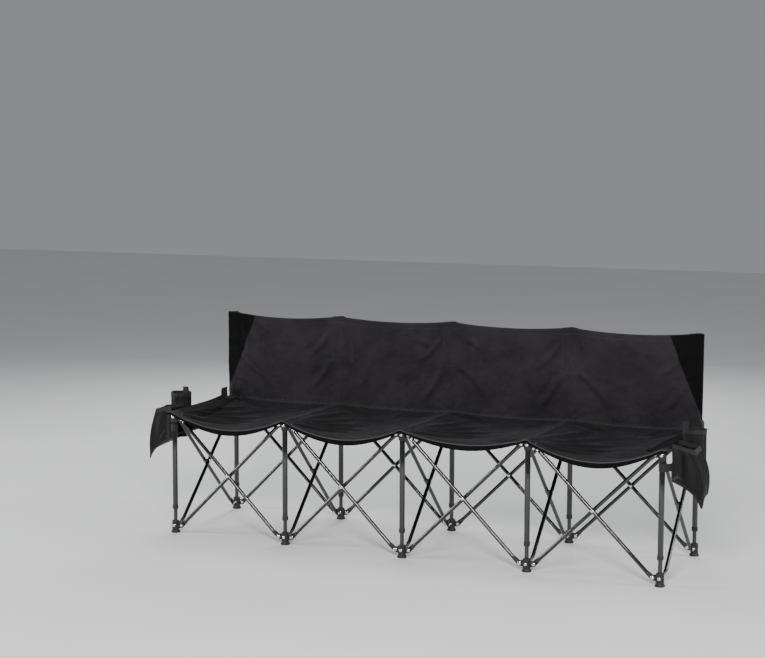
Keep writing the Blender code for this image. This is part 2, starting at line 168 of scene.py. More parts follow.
def make_studio():
    world = bpy.data.worlds.new("studio")
    world.use_nodes = True
    sky = world.node_tree.nodes["Background"]
    sky.inputs["Color"].default_value = (*SKY, 1)
    sky.inputs["Strength"].default_value = SKY_STRENGTH
    bpy.context.scene.world = world
    for light in SOFTBOXES:
        softbox(*light)
    bm = bmesh.new()
    bmesh.ops.create_grid(bm, x_segments=1, y_segments=1, size=FLOOR_HALF)
    floor = add_piece("floor", finish_mesh("floor", bm), floor_material())


# ---------------------------------------------------------------- node materials

class Shader:
    """A Principled material with short calls for the nodes that feed it."""

    def __init__(self, name, colour, roughness, metallic=0.0, **constants):
        self.material = bpy.data.materials.new(name)
        self.material.use_nodes = True
        self.tree = self.material.node_tree
        self.out = self.tree.nodes["Principled BSDF"]
        self.out.inputs["Base Color"].default_value = (*colour, 1)
        self.out.inputs["Roughness"].default_value = roughness
        self.out.inputs["Metallic"].default_value = metallic
        for key, value in constants.items():
            self.out.inputs[key.replace("_", " ")].default_value = value
        self.coords = self.tree.nodes.new("ShaderNodeTexCoord")

    def link(self, value, socket):
        if isinstance(value, bpy.types.NodeSocket):
            self.tree.links.new(value, socket)
        else:
            socket.default_value = value

    def place(self, source="Object", scale=(1, 1, 1), turn=(0, 0, 0)):
        """Where a texture is read: by place on the piece, or by metres of cloth with source UV."""
        node = self.tree.nodes.new("ShaderNodeMapping")
        self.tree.links.new(self.coords.outputs[source], node.inputs["Vector"])
        node.inputs["Scale"].default_value = scale
        node.inputs["Rotation"].default_value = turn
        return node.outputs["Vector"]

    def noise(self, vector, scale, detail=3.0, rough=0.55):
        node = self.tree.nodes.new("ShaderNodeTexNoise")
        self.tree.links.new(vector, node.inputs["Vector"])
        node.inputs["Scale"].default_value = scale
        node.inputs["Detail"].default_value = detail
        node.inputs["Roughness"].default_value = rough
        return node.outputs["Fac"]

    def wave(self, vector, scale, direction, distortion=0.0):
        node = self.tree.nodes.new("ShaderNodeTexWave")
        node.wave_type = "BANDS"
        node.bands_direction = direction
        node.wave_profile = "SIN"
        self.tree.links.new(vector, node.inputs["Vector"])
        node.inputs["Scale"].default_value = scale
        node.inputs["Distortion"].default_value = distortion
        return node.outputs["Fac"]

    def math(self, operation, first, second=0.0, clamp=False):
        node = self.tree.nodes.new("ShaderNodeMath")
        node.operation = operation
        node.use_clamp = clamp
        self.link(first, node.inputs[0])
        self.link(second, node.inputs[1])
        return node.outputs["Value"]

    def plus(self, first, second, clamp=False):
        return self.math("ADD", first, second, clamp)

    def times(self, first, second):
        return self.math("MULTIPLY", first, second)

    def spread(self, value, low, high, to_low=0.0, to_high=1.0):
        node = self.tree.nodes.new("ShaderNodeMapRange")
        node.interpolation_type = "SMOOTHSTEP"
        self.link(value, node.inputs["Value"])
        node.inputs["From Min"].default_value = low
        node.inputs["From Max"].default_value = high
        node.inputs["To Min"].default_value = to_low
        node.inputs["To Max"].default_value = to_high
        return node.outputs["Result"]

    def mix(self, factor, first, second):
        node = self.tree.nodes.new("ShaderNodeMix")
        node.data_type = "RGBA"
        self.link(factor, node.inputs["Factor"])
        for value, key in ((first, "A"), (second, "B")):
            socket = [s for s in node.inputs if s.name == key and s.type == "RGBA"][0]
            self.link((*value, 1) if isinstance(value, tuple) else value, socket)
        return [s for s in node.outputs if s.type == "RGBA"][0]

    def edges(self):
        """How convex the surface is: bright on worn edges."""
        node = self.tree.nodes.new("ShaderNodeNewGeometry")
        return node.outputs["Pointiness"]

    def bump(self, height, strength, distance):
        node = self.tree.nodes.new("ShaderNodeBump")
        self.tree.links.new(height, node.inputs["Height"])
        node.inputs["Strength"].default_value = strength
        node.inputs["Distance"].default_value = distance
        previous = self.out.inputs["Normal"].links
        if previous:
            self.tree.links.new(previous[0].from_socket, node.inputs["Normal"])
        self.tree.links.new(node.outputs["Normal"], self.out.inputs["Normal"])

    def set(self, name, value):
        self.link(value, self.out.inputs[name])


def floor_material():
    s = Shader("studio floor", (0.78, 0.78, 0.77), 0.75)
    dust = s.noise(s.place(), 1.3, 5)
    s.set("Base Color", s.mix(dust, (0.74, 0.74, 0.735), (0.82, 0.82, 0.81)))
    return s.material


def powder_coat():
    """Gloss black powder coat on steel tube: orange peel, dust and rubbed edges."""
    s = Shader("black powder coat", (0.003, 0.003, 0.004), 0.12, 0.0, Specular_IOR_Level=0.85)
    at = s.place()
    dust = s.spread(s.noise(at, 38, 6, 0.65), 0.42, 0.72)
    rub = s.spread(s.edges(), 0.53, 0.60)
    scratch = s.spread(s.noise(s.place(scale=(900, 60, 900)), 1.0, 2), 0.66, 0.72)
    base = s.mix(dust, (0.0020, 0.0020, 0.0025), (0.0060, 0.0059, 0.0058))
    base = s.mix(s.times(scratch, 0.25), base, (0.04, 0.04, 0.04))
    s.set("Base Color", s.mix(s.times(rub, 0.18), base, (0.12, 0.115, 0.11)))
    s.set("Roughness", s.plus(s.spread(dust, 0, 1, 0.07, 0.14), s.times(scratch, 0.12)))
    s.bump(s.noise(at, 620, 2), 0.10, 0.0004)
    return s.material


def runner_coat():
    """The inner leg tube: the same black coat, thinned and streaked by sliding."""
    s = Shader("rubbed runner coat", (0.03, 0.03, 0.032), 0.3, 0.25,
               Coat_Weight=0.2, Coat_Roughness=0.2)
    streak = s.spread(s.noise(s.place(scale=(420, 420, 9)), 1.0, 4), 0.45, 0.75)
    cloud = s.noise(s.place(), 45, 4)
    s.set("Base Color", s.mix(streak, (0.016, 0.016, 0.018), (0.075, 0.075, 0.078)))
    s.set("Roughness", s.spread(cloud, 0.3, 0.7, 0.26, 0.42))
    s.bump(s.noise(s.place(scale=(700, 700, 14)), 1.0, 2), 0.10, 0.0003)
    return s.material


def nylon():
    """Moulded black nylon: spark-eroded grain, dust in the hollows, polished corners."""
    s = Shader("black nylon", (0.012, 0.012, 0.013), 0.5, 0.0, Specular_IOR_Level=0.4)
    at = s.place()
    dust = s.spread(s.noise(at, 60, 7, 0.7), 0.40, 0.75)
    corner = s.spread(s.edges(), 0.52, 0.60)
    base = s.mix(dust, (0.008, 0.008, 0.009), (0.026, 0.025, 0.024))
    s.set("Base Color", s.mix(s.times(corner, 0.4), base, (0.085, 0.085, 0.085)))
    s.set("Roughness", s.spread(corner, 0, 1, 0.56, 0.34))
    s.bump(s.noise(at, 1900, 2), 0.22, 0.0002)
    s.bump(s.noise(at, 130, 3), 0.15, 0.0006)
    return s.material


def nickel():
    """Bright nickel rivets with faint turning rings and tarnish."""
    s = Shader("nickel rivet", (0.80, 0.80, 0.81), 0.2, 1.0)
    at = s.place()
    tarnish = s.spread(s.noise(at, 240, 5, 0.6), 0.45, 0.75)
    s.set("Base Color", s.mix(tarnish, (0.86, 0.86, 0.87), (0.50, 0.49, 0.47)))
    s.set("Roughness", s.spread(tarnish, 0, 1, 0.13, 0.36))
    s.bump(s.noise(at, 900, 3), 0.12, 0.0002)
    return s.material


WEAVE_SCALE = 230
WEAVE_STRENGTH = 0.28


def weave(s):
    """A plain weave in metres of cloth: two crossed sets of threads, each over and under."""
    flat = s.place("UV")
    warp = s.wave(flat, WEAVE_SCALE, "X")
    weft = s.wave(flat, WEAVE_SCALE, "Y")
    over = s.times(warp, weft)
    under = s.times(s.math("SUBTRACT", 1.0, warp), s.math("SUBTRACT", 1.0, weft))
    cross = s.plus(over, under)
    slub = s.noise(s.place("UV", (30, 900, 1)), 1.0, 2)
    slub = s.plus(slub, s.noise(s.place("UV", (900, 30, 1)), 1.0, 2))
    s.bump(s.plus(cross, s.times(slub, 0.5)), WEAVE_STRENGTH, 0.0003)
    return cross, slub


def canvas(name, dark, light, roughness, sheen, specular=0.22):
    """Black polyester canvas: plain weave, slubs, handling creases and faint dust."""
    s = Shader(name, dark, roughness, 0.0, Sheen_Weight=sheen, Sheen_Roughness=0.45,
               Specular_IOR_Level=specular)
    s.out.inputs["Sheen Tint"].default_value = (0.75, 0.75, 0.82, 1)
    cross, slub = weave(s)
    cloud = s.noise(s.place("UV"), 7, 6, 0.62)
    patch = s.noise(s.place("UV", turn=(0, 0, 0.6)), 26, 5, 0.6)
    tone = s.plus(s.times(cloud, 0.7), s.times(patch, 0.3))
    tone = s.plus(s.spread(tone, 0.30, 0.70), s.times(s.math("SUBTRACT", cross, 0.5), 0.35))
    tone = s.plus(tone, s.times(s.math("SUBTRACT", slub, 1.0), 0.35), clamp=True)
    s.set("Base Color", s.mix(tone, dark, light))
    s.set("Roughness", s.spread(patch, 0.3, 0.7, roughness - 0.08, roughness + 0.08))
    s.bump(s.noise(s.place("UV"), 85, 5, 0.6), 0.24, 0.0018)
    s.bump(s.noise(s.place("UV", (1.0, 2.4, 1), (0, 0, 0.5)), 24, 4, 0.55), 0.34, 0.006)
    return s.material


def webbing(name, dark, light):
    """Tape, and the pale painted-highlight line along the hem's fold: a tight diagonal rib."""
    s = Shader(name, (0.01, 0.01, 0.011), 0.7, 0.0, Sheen_Weight=0.05, Specular_IOR_Level=0.3)
    rib = s.wave(s.place("UV", turn=(0, 0, math.radians(38))), 260, "X", 0.4)
    fuzz = s.noise(s.place("UV"), 60, 6, 0.65)
    s.set("Base Color", s.mix(s.times(rib, fuzz), dark, light))
    s.set("Roughness", s.spread(fuzz, 0.3, 0.7, 0.6, 0.82))
    s.bump(rib, 0.35, 0.0003)
    s.bump(s.noise(s.place("UV"), 110, 4), 0.2, 0.001)
    return s.material


def knit():
    """Polyester net yarn: fine twist along each strand, lint and shine."""
    s = Shader("net yarn", (0.005, 0.005, 0.006), 0.6, 0.0, Specular_IOR_Level=0.2)
    twist = s.wave(s.place("UV", turn=(0, 0, math.radians(45))), 1400, "X", 0.6)
    lint = s.spread(s.noise(s.place("UV"), 140, 5, 0.65), 0.45, 0.75)
    tone = s.times(s.plus(twist, lint), 0.5)
    s.set("Base Color", s.mix(tone, (0.0020, 0.0020, 0.0026), (0.0100, 0.0098, 0.0105)))
    s.set("Roughness", s.spread(lint, 0, 1, 0.45, 0.72))
    s.bump(twist, 0.3, 0.0002)
    return s.material


def thread():
    s = Shader("sewing thread", (0.05, 0.05, 0.055), 0.55, 0.0, Sheen_Weight=0.2)
    twist = s.wave(s.place(turn=(0.5, 0.7, 0.3)), 1500, "X", 1.0)
    s.set("Base Color", s.mix(twist, (0.014, 0.014, 0.016), (0.046, 0.046, 0.050)))
    s.set("Roughness", s.spread(s.noise(s.place(), 400, 2), 0.3, 0.7, 0.45, 0.7))
    s.bump(twist, 0.3, 0.0002)
    return s.material


# ---------------------------------------------------------------- mesh making

def finish_mesh(name, bm, sharp=35):
    """Ends a bmesh as a smooth mesh whose edges stay sharp above this many degrees."""
    bmesh.ops.recalc_face_normals(bm, faces=bm.faces)
    mesh = bpy.data.meshes.new(name)
    bm.to_mesh(mesh)
    bm.free()
    mesh.shade_smooth()
    mesh.set_sharp_from_angle(angle=math.radians(sharp))
    return mesh


def add_piece(name, mesh, material, world=None):
    piece = bpy.data.objects.new(name, mesh)
    if not mesh.materials:
        mesh.materials.append(material)
    if world:
        piece.matrix_world = world
    bpy.context.collection.objects.link(piece)
    return piece


def bridge(bm, low, high):
    """Quads, or triangles to a pole, between two rings."""
    count = max(len(low), len(high))
    for i in range(count):
        j = (i + 1) % count
        corners = [low[i % len(low)], low[j % len(low)], high[j % len(high)], high[i % len(high)]]
        bm.faces.new(list(dict.fromkeys(corners)))


def turn_profile(bm, profile, sides, matrix=None):
    """Adds a closed solid of revolution about Z; radius 0 is a pole."""
    rings = []
    for radius, height in profile:
        if radius == 0:
            rings.append([bm.verts.new((0, 0, height))])
            continue
        rings.append([bm.verts.new((radius * math.cos(2 * math.pi * i / sides),
                                    radius * math.sin(2 * math.pi * i / sides), height))
                      for i in range(sides)])
    if matrix:
        for ring in rings:
            for vert in ring:
                vert.co = matrix @ vert.co
    for low, high in zip(rings, rings[1:]):
        bridge(bm, low, high)
    return bm


def rounded(profile, radius, steps=3):
    """Rounds the inner corners of an open (r, z) profile with short arcs."""
    result = [profile[0]]
    for before, corner, after in zip(profile, profile[1:], profile[2:]):
        a, c, b = Vector(before), Vector(corner), Vector(after)
        reach = min(radius, (a - c).length * 0.45, (b - c).length * 0.45)
        start = c + (a - c).normalized() * reach
        end = c + (b - c).normalized() * reach
        for i in range(steps + 1):
            t = i / steps
            point = start * (1 - t) ** 2 + c * 2 * t * (1 - t) + end * t ** 2
            result.append((max(point.x, 0.0), point.y))
    result.append(profile[-1])
    return result


def arc(x, y, radius, start, stop, steps):
    """Points round part of a circle, with both of its ends."""
    turns = [start + (stop - start) * k / steps for k in range(steps + 1)]
    return [(x + radius * math.cos(turn), y + radius * math.sin(turn)) for turn in turns]


def smoothstep(t):
    t = min(max(t, 0.0), 1.0)
    return t * t * (3 - 2 * t)


# ---------------------------------------------------------------- steel links

TONGUE_FLAT = 0.010             # how far past its pivot a link stays pressed flat
TONGUE_SHOULDER = 0.019         # and how long it takes to become round again
NOSE_HALF_WIDTH = 0.0012
TUBE_SIDES = 32
MOULDED_SIDES = 40
RIVET_SIDES = 20
WASHER_THICK = 0.0010

# Rivet heads: the dome's radius, the height and the washer's radius
END_RIVET = (RIVET_R, 0.0026, 0.0066)
CROSSING_RIVET = (0.0046, 0.0026, 0.0056)
LEG_RIVET = (0.0046, 0.0024, 0.0054)
TAIL_RIVET = (0.0050, 0.0022, 0.0062)
SPACER_R = 0.0062


def link_ring(bm, x, centre, half_thick, half_width, squareness, sides=24):
    ring = []
    for i in range(sides):
        angle = 2 * math.pi * (i + 0.5) / sides
        c, s = math.cos(angle), math.sin(angle)
        y = math.copysign(abs(c) ** (2 / squareness), c)
        z = math.copysign(abs(s) ** (2 / squareness), s)
        ring.append(bm.verts.new((x, centre + half_thick * y, half_width * z)))
    return ring


def link_shape(distance):
    """Centre, half thickness, half width and squareness of a link, by distance inside its end pivot."""
    crush = 1 - smoothstep((distance - TONGUE_FLAT) / TONGUE_SHOULDER)
    width = LINK_R + (TONGUE_HALF_WIDTH - LINK_R) * crush
    if distance < 0:
        width = math.sqrt(max(TONGUE_HALF_WIDTH ** 2 - distance ** 2, 0.0))
    thick = LINK_R + (TONGUE_HALF_THICK - LINK_R) * crush
    centre = LINK_OFFSET + (TONGUE_Y - LINK_OFFSET) * crush
    return centre, thick, max(width, NOSE_HALF_WIDTH), 2 + 5 * crush


def link_mesh():
    """A round tube with both ends pressed flat round their rivets, along X."""
    half = LINK_LENGTH / 2
    nose = [-0.0084, -0.0080, -0.0070, -0.0055, -0.0035, -0.0015]
    inner = [0.001 + 0.0021 * i for i in range(15)]
    body = [0.06, 0.12, 0.18, 0.24]
    half_way = nose + inner + body
    stations = [(-half + d, d) for d in half_way] + [(half - d, d) for d in reversed(half_way)]
    bm = bmesh.new()
    rings = [link_ring(bm, x, *link_shape(d)) for x, d in stations]
    for low, high in zip(rings, rings[1:]):
        bridge(bm, low, high)
    bm.faces.new(rings[0])
    bm.faces.new(rings[-1])
    return finish_mesh("link", bm, 40)


def along_y(x, y, flip=False):
    """Turns a +Z profile to stand on +Y, or on -Y, at (x, y)."""
    angle = math.pi / 2 if flip else -math.pi / 2
    return Matrix.Translation((x, y, 0)) @ Matrix.Rotation(angle, 4, "X")


def add_rivet(bm, size, matrix):
    """A domed head on a thin washer, from its seat up to its pole."""
    radius, height, washer = size
    profile = [(0, 0), (washer, 0), (washer + 0.0001, 0.0004), (washer - 0.0003, 0.0009),
               (radius, WASHER_THICK)]
    for i in range(1, 6):
        angle = math.pi / 2 * i / 6
        dome = (height - WASHER_THICK) * math.sin(angle)
        profile.append((radius * math.cos(angle), WASHER_THICK + dome))
    turn_profile(bm, profile + [(0, height)], RIVET_SIDES, matrix)


def link_rivets_mesh():
    """The heads that show on a link: one over each end and one at the crossing."""
    bm = bmesh.new()
    half = LINK_LENGTH / 2
    for x in (-half, half):
        add_rivet(bm, END_RIVET, along_y(x, TONGUE_Y + TONGUE_HALF_THICK))
    add_rivet(bm, CROSSING_RIVET, along_y(0, LINK_OFFSET + LINK_R - 0.0009))
    return finish_mesh("link_rivets", bm, 50)


def spacer_mesh():
    """Half of the nylon washer between two crossing links."""
    low, high = 0.0002, LINK_OFFSET - LINK_R + 0.0016
    profile = rounded([(0, low), (SPACER_R, low), (SPACER_R, high), (0, high)], 0.0006)
    bm = turn_profile(bmesh.new(), profile, RIVET_SIDES, along_y(0, 0))
    return finish_mesh("spacer", bm, 50)


def link_world(low, high, side):
    along = (high - low).normalized()
    up = along.cross(side)
    turn = Matrix((along, side, up)).transposed().to_4x4()
    return Matrix.Translation((low + high) / 2) @ turn


class Looks:
    """The shared materials and repeated meshes."""

    def __init__(self):
        self.coat = powder_coat()
        self.runner = runner_coat()
        self.nylon = nylon()
        self.nickel = nickel()
        # The seat and backrest are one cloth: the seat's canvas is painted darker as painted shade, and
        # the backrest's lighter as painted light
        self.seat = canvas("seat canvas", (0.0028, 0.0028, 0.0033), (0.0090, 0.0088, 0.0096),
                           0.84, 0.03, 0.16)
        self.back = canvas("backrest canvas", (0.0078, 0.0065, 0.0077), (0.0215, 0.0188, 0.0224),
                           0.82, 0.05, 0.18)
        # The end panel's dark cloth; on the seat's turned-down lip and on the sheet's dark ends it is
        # painted shade
        self.trim_and_painted_shade = canvas("trim canvas", (0.0016, 0.0016, 0.0019), (0.0038, 0.0038, 0.0043),
                           0.92, 0.01, 0.10)
        self.sleeve = canvas("sleeve canvas", (0.0030, 0.0030, 0.0036), (0.0095, 0.0092, 0.0102),
                             0.7, 0.06)
        self.net = knit()
        self.tape = webbing("hem tape", (0.0052, 0.0052, 0.0062), (0.0240, 0.0235, 0.0265))
        # A lighter tape as painted highlight, where the hem's fold catches the light
        self.hem_highlight = webbing("hem_highlight", (0.020, 0.020, 0.023), (0.105, 0.103, 0.112))
        self.thread = thread()
        self.link = link_mesh()
        self.link_rivets = link_rivets_mesh()
        self.spacer = spacer_mesh()


def ride(piece, body):
    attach(piece, body)
    return piece


def mount(name, mesh, material, world, body):
    return ride(add_piece(name, mesh, material, world), body)


def build_link(looks, name, low, high, side):
    world = link_world(low, high, side)
    tube = mount(name + "_tube", looks.link, looks.coat, world, name)
    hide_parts(name)
    mount(name + "_rivets", looks.link_rivets, looks.nickel, world, name)
    mount(name + "_spacer", looks.spacer, looks.nylon, world, name)


def build_links(looks):
    for row, y in (("front", FRONT_Y), ("rear", REAR_Y)):
        for bay in BAYS:
            left = station_x(bay) + LUG_REACH
            right = station_x(bay + 1) - LUG_REACH
            corners = [Vector((x, y, z)) for x in (left, right) for z in (FOOT_Z, HUB_Z)]
            low_left, high_left, low_right, high_right = corners
            build_link(looks, f"{row}_link_up_{bay}", low_left, high_right, OUT_Y)
            build_link(looks, f"{row}_link_down_{bay}", low_right, high_left, -OUT_Y)
    near, far = FRONT_Y + LUG_REACH, REAR_Y - LUG_REACH
    for station in STATIONS:
        x = station_x(station)
        rising = [Vector((x, near, FOOT_Z)), Vector((x, far, HUB_Z))]
        falling = [Vector((x, far, FOOT_Z)), Vector((x, near, HUB_Z))]
        build_link(looks, f"side_link_rising_{station}", *rising, OUT_X)
        build_link(looks, f"side_link_falling_{station}", *falling, -OUT_X)


# ---------------------------------------------------------------- legs, feet and hubs

LUG_ROOT_X, LUG_ROOT_HALF = 0.0095, 0.0125
LUG_NECK_X, LUG_NECK_HALF = 0.014, 0.0105
LUG_R = 0.0095
FOOT_TOP_Z = 0.0440
HUB_BELOW = 0.0200              # how far a hub reaches under its link pivots
MOULDED_BEVEL = 0.0006
BORE_R = RUNNER_R + 0.0006
TUBE_LOW_Z = FERRULE_Z + 0.004
FERRULE_TOP_Z = FERRULE_Z + 0.0145


def lug_headings(station, row_y):
    """Which ways a leg's lugs point: across the bench, and along it to each neighbour."""
    headings = [math.pi / 2 if row_y < 0 else -math.pi / 2]
    if station < STATIONS[-1]:
        headings.append(0.0)
    if station > STATIONS[0]:
        headings.append(math.pi)
    return headings


def lug_shapes(height, headings):
    """A plate with a round end for each link, as meshes to unite with a foot or hub."""
    outline = [(LUG_ROOT_X, LUG_ROOT_HALF), (LUG_ROOT_X, -LUG_ROOT_HALF), (LUG_NECK_X, -LUG_NECK_HALF),
               *arc(LUG_REACH, 0, LUG_R, -math.pi / 2, math.pi / 2, 14), (LUG_NECK_X, LUG_NECK_HALF)]
    shapes = []
    for heading in headings:
        bm = bmesh.new()
        near = [bm.verts.new((x, -LUG_HALF_THICK, z)) for x, z in outline]
        far = [bm.verts.new((x, LUG_HALF_THICK, z)) for x, z in outline]
        bridge(bm, near, far)
        bm.faces.new(near)
        bm.faces.new(far)
        mesh = finish_mesh("lug", bm)
        mesh.transform(Matrix.Translation((0, 0, height)) @ Matrix.Rotation(heading, 4, "Z"))
        shapes.append(mesh)
    return shapes


def unite(base, others):
    """One mesh from a base and others by exact union, with softened edges."""
    target = bpy.data.objects.new("unite", base)
    bpy.context.collection.objects.link(target)
    tools = []
    for mesh in others:
        tool = bpy.data.objects.new("unite_tool", mesh)
        bpy.context.collection.objects.link(tool)
        modifier = target.modifiers.new("unite", "BOOLEAN")
        modifier.operation = "UNION"
        modifier.solver = "EXACT"
        modifier.object = tool
        tools.append(tool)
    edges = target.modifiers.new("soften", "BEVEL")
    edges.width = MOULDED_BEVEL
    edges.segments = 2
    edges.limit_method = "ANGLE"
    edges.angle_limit = math.radians(40)
    edges.harden_normals = False
    depsgraph = bpy.context.evaluated_depsgraph_get()
    mesh = bpy.data.meshes.new_from_object(target.evaluated_get(depsgraph))
    for item in tools + [target]:
        bpy.data.objects.remove(item, do_unlink=True)
    mesh.materials.clear()
    mesh.shade_smooth()
    mesh.set_sharp_from_angle(angle=math.radians(50))
    return mesh


def foot_mesh(headings):
    """A moulded foot: a flared sole, a ribbed boss and a lug for every link."""
    profile = rounded([(0, 0.0), (0.0158, 0.0), (0.0168, 0.0012), (0.0168, 0.0046), (0.0145, 0.0068),
                       (BOSS_R, 0.0095), (BOSS_R, FOOT_TOP_Z - 0.0025), (0.0118, FOOT_TOP_Z),
                       (0, FOOT_TOP_Z)], 0.0008, 2)
    base = finish_mesh("foot", turn_profile(bmesh.new(), profile, MOULDED_SIDES))
    return unite(base, lug_shapes(FOOT_Z, headings))


def hub_mesh(headings):
    """A moulded hub at the top of a leg, its heights measured from the link pivots."""
    low, high = -HUB_BELOW, HUB_TOP_Z - HUB_Z
    profile = rounded([(0, low), (0.0122, low), (BOSS_R, low + 0.0012), (BOSS_R, 0.004),
                       (BOSS_R, high - 0.0028), (0.0112, high), (0, high)], 0.0009, 2)
    base = finish_mesh("hub", turn_profile(bmesh.new(), profile, MOULDED_SIDES))
    return unite(base, lug_shapes(0.0, headings))


def leg_rivets_mesh(headings):
    """Rivets at a foot or hub, round its link pivots: one through the leg, and one in each lug."""
    bm = bmesh.new()
    for sign, flip in ((1, False), (-1, True)):
        add_rivet(bm, LEG_RIVET, along_y(0, sign * (BOSS_R - 0.0002), flip))
    for heading in headings:
        side = Matrix.Rotation(heading, 4, "Z")
        for sign, flip in ((1, False), (-1, True)):
            add_rivet(bm, TAIL_RIVET, side @ along_y(LUG_REACH, sign * LUG_HALF_THICK, flip))
    return finish_mesh("cross_rivets", bm, 50)


def tube_part(profile, name, radius=0.0005):
    return finish_mesh(name, turn_profile(bmesh.new(), rounded(profile, radius, 2), TUBE_SIDES), 45)


def bored(top):
    """The profile of an outer tube, from over the ferrule's lip up to its top."""
    low = TUBE_LOW_Z
    return [(BORE_R, low), (TUBE_R, low), (TUBE_R, top), (BORE_R, top), (BORE_R, low)]


def leg_meshes():
    """The turned pieces of a leg, in heights above the floor."""
    runner_low = FOOT_TOP_Z - 0.0005
    runner = [(0, runner_low), (RUNNER_R, runner_low), (RUNNER_R, RUNNER_TOP_Z), (0, RUNNER_TOP_Z)]
    mouth = (RUNNER_R + 0.0004, FERRULE_Z - 0.0002)
    ferrule = [mouth, (0.0106, FERRULE_Z - 0.0002), (0.0108, FERRULE_Z + 0.012),
               (0.0100, FERRULE_TOP_Z), (TUBE_R + 0.0001, FERRULE_TOP_Z),
               (RUNNER_R + 0.0004, FERRULE_Z + 0.0143), mouth]
    cap_low = POST_TOP_Z - 0.011
    cap = [(0, cap_low), (0.0104, cap_low), (0.0104, POST_TOP_Z - 0.003), (0.0070, POST_TOP_Z),
           (0, POST_TOP_Z)]
    return {
        "runner": tube_part(runner, "runner"),
        "ferrule": tube_part(ferrule, "ferrule"),
        "front": tube_part(bored(HUB_Z - 0.004), "front_tube"),
        "rear": tube_part(bored(POST_TOP_Z - 0.010), "post"),
        "cap": tube_part(cap, "post_cap", 0.0014),
    }


def build_legs(looks):
    parts = leg_meshes()
    shapes = {}
    for row, y in (("front", FRONT_Y), ("rear", REAR_Y)):
        for station in STATIONS:
            headings = lug_headings(station, y)
            key = tuple(round(math.degrees(heading)) % 360 for heading in headings)
            if key not in shapes:
                shapes[key] = {
                    "foot": foot_mesh(headings),
                    "hub": hub_mesh(headings),
                    "rivets": leg_rivets_mesh(headings),
                }
            build_leg(looks, parts, shapes[key], row, y, station)


def build_leg(looks, parts, shape, row, y, station):
    base, at_foot, at_hub = (Matrix.Translation(leg_at(station, y, z)) for z in (0, FOOT_Z, HUB_Z))
    foot = f"{row}_foot_{station}"
    hub = f"{row}_hub_{station}"
    post = f"rear_post_{station}"
    top = hub if row == "front" else post
    moulding = mount(foot + "_moulding", shape["foot"], looks.nylon, base, foot)
    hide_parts(foot)
    mount(foot + "_runner", parts["runner"], looks.runner, base, foot)
    mount(foot + "_rivets", shape["rivets"], looks.nickel, at_foot, foot)
    moulding = mount(hub + "_moulding", shape["hub"], looks.nylon, at_hub, top)
    if row == "front":
        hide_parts(hub)
    mount(hub + "_rivets", shape["rivets"], looks.nickel, at_hub, top)
    mount(f"{row}_ferrule_{station}", parts["ferrule"], looks.nylon, base, top)
    name = f"front_tube_{station}" if row == "front" else post
    tube = mount(name + "_tube", parts[row], looks.coat, base, top)
    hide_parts(name)
    if row == "rear":
        mount(f"post_cap_{station}", parts["cap"], looks.nylon, base, top)


# ---------------------------------------------------------------- the seat and backrest, one sheet

COLUMNS_PER_BAY = 36
END_COLUMNS = 2
SEAT_ROWS = 36
BACK_ROWS = 26
FINER = 3                       # the simulated sheet is refined this many times over
FRAMES = 40
MOST_MOVED = 0.06               # how far the simulation may carry a point
LIP = 0.010                     # cloth turned down in front of the hubs, on average
HUB_S = LIP + FRONT_Y - SEAT_FRONT_Y
SPLIT_S = LIP + SEAT_SPLIT_Y - SEAT_FRONT_Y
SEAM_S = LIP + BACK_Y - SEAT_FRONT_Y
BACK_HEIGHT = BACK_TOP_Z - SEAT_Z
SEAT_BELLY = 0.008
START_WOBBLE = 0.0012
POCKET_HEIGHT = 0.160
POCKET_HALF_WIDTH = 0.0275
HOLD_HALF_WIDTH = 0.013
BACK_CRUMPLE = 0.0017           # height of the handling creases
SEAT_CRUMPLE = 0.0012
CRUMPLES = ((2.0, 7), (4.4, 5))  # each set's seed, and how sharp its creases are
CREASE_BOW = 0.012

# Drag lines from each hub into the bays at its right and left: their reach along and up the sheet
DRAGS_RIGHT = ((0.24, 0.10), (0.27, 0.17), (0.25, 0.25), (0.18, 0.32), (0.10, 0.36))
DRAGS_LEFT = ((0.19, 0.07), (0.20, 0.15), (0.14, 0.24))

# Extra cloth across each bay, as a share of its width, by share of the way from front hem to top hem
SLACK_AT = (0.0, 0.04, 0.25, 0.45, 0.587, 0.75, 1.0)
SLACK = np.array([
    (0.0340, 0.0340, 0.0160, 0.0430),
    (0.0250, 0.0250, 0.0090, 0.0340),
    (0.0160, 0.0160, 0.0085, 0.0190),
    (0.0065, 0.0065, 0.0055, 0.0075),
    (0.0010, 0.0008, 0.0008, 0.0010),
    (0.0022, 0.0020, 0.0020, 0.0022),
    (0.0036, 0.0020, 0.0022, 0.0026),
])

# How Blender's Cloth treats the sheet
CLOTH_SETTINGS = {
    "quality": 7,
    "mass": 0.001,
    "tension_stiffness": 60,
    "compression_stiffness": 25,
    "shear_stiffness": 12,
    "bending_stiffness": 0.6,
    "air_damping": 1.5,
    "vertex_group_mass": "pins",
}


def sheet_columns():
    inner = station_x(1) + np.arange(len(BAYS) * COLUMNS_PER_BAY + 1) * BAY / COLUMNS_PER_BAY
    outer = inner[-1] + (SEAT_END_X - inner[-1]) * np.arange(1, END_COLUMNS + 1) / END_COLUMNS
    return np.concatenate([-outer[::-1], inner, outer])


def bay_share(x):
    """Which bay each x lies in, counted from 0, and how far across it, 0 to 1."""
    place = np.clip((x - station_x(1)) / BAY, 0, len(BAYS) - 1e-9)
    return place.astype(int), place - np.floor(place)


def run_along(path):
    """How far along a path of points each one lies."""
    steps = np.linalg.norm(np.diff(path, axis=0), axis=1)
    return np.concatenate([[0], np.cumsum(steps)])


def ramp(values, low, length):
    """Climbs from 0 at low to 1 this far beyond it."""
    return np.clip((values - low) / length, 0, 1)


def ripple(x, y, seed):
    """A smooth repeatable wobble between -1 and 1."""
    total = 0
    for k in range(1, 5):
        turn = seed * 1.7 + k * 2.1
        total = total + np.sin(x * 23 * k * math.cos(turn) + y * 31 * k * math.sin(turn) + seed * k) / k
    return total / 2.1


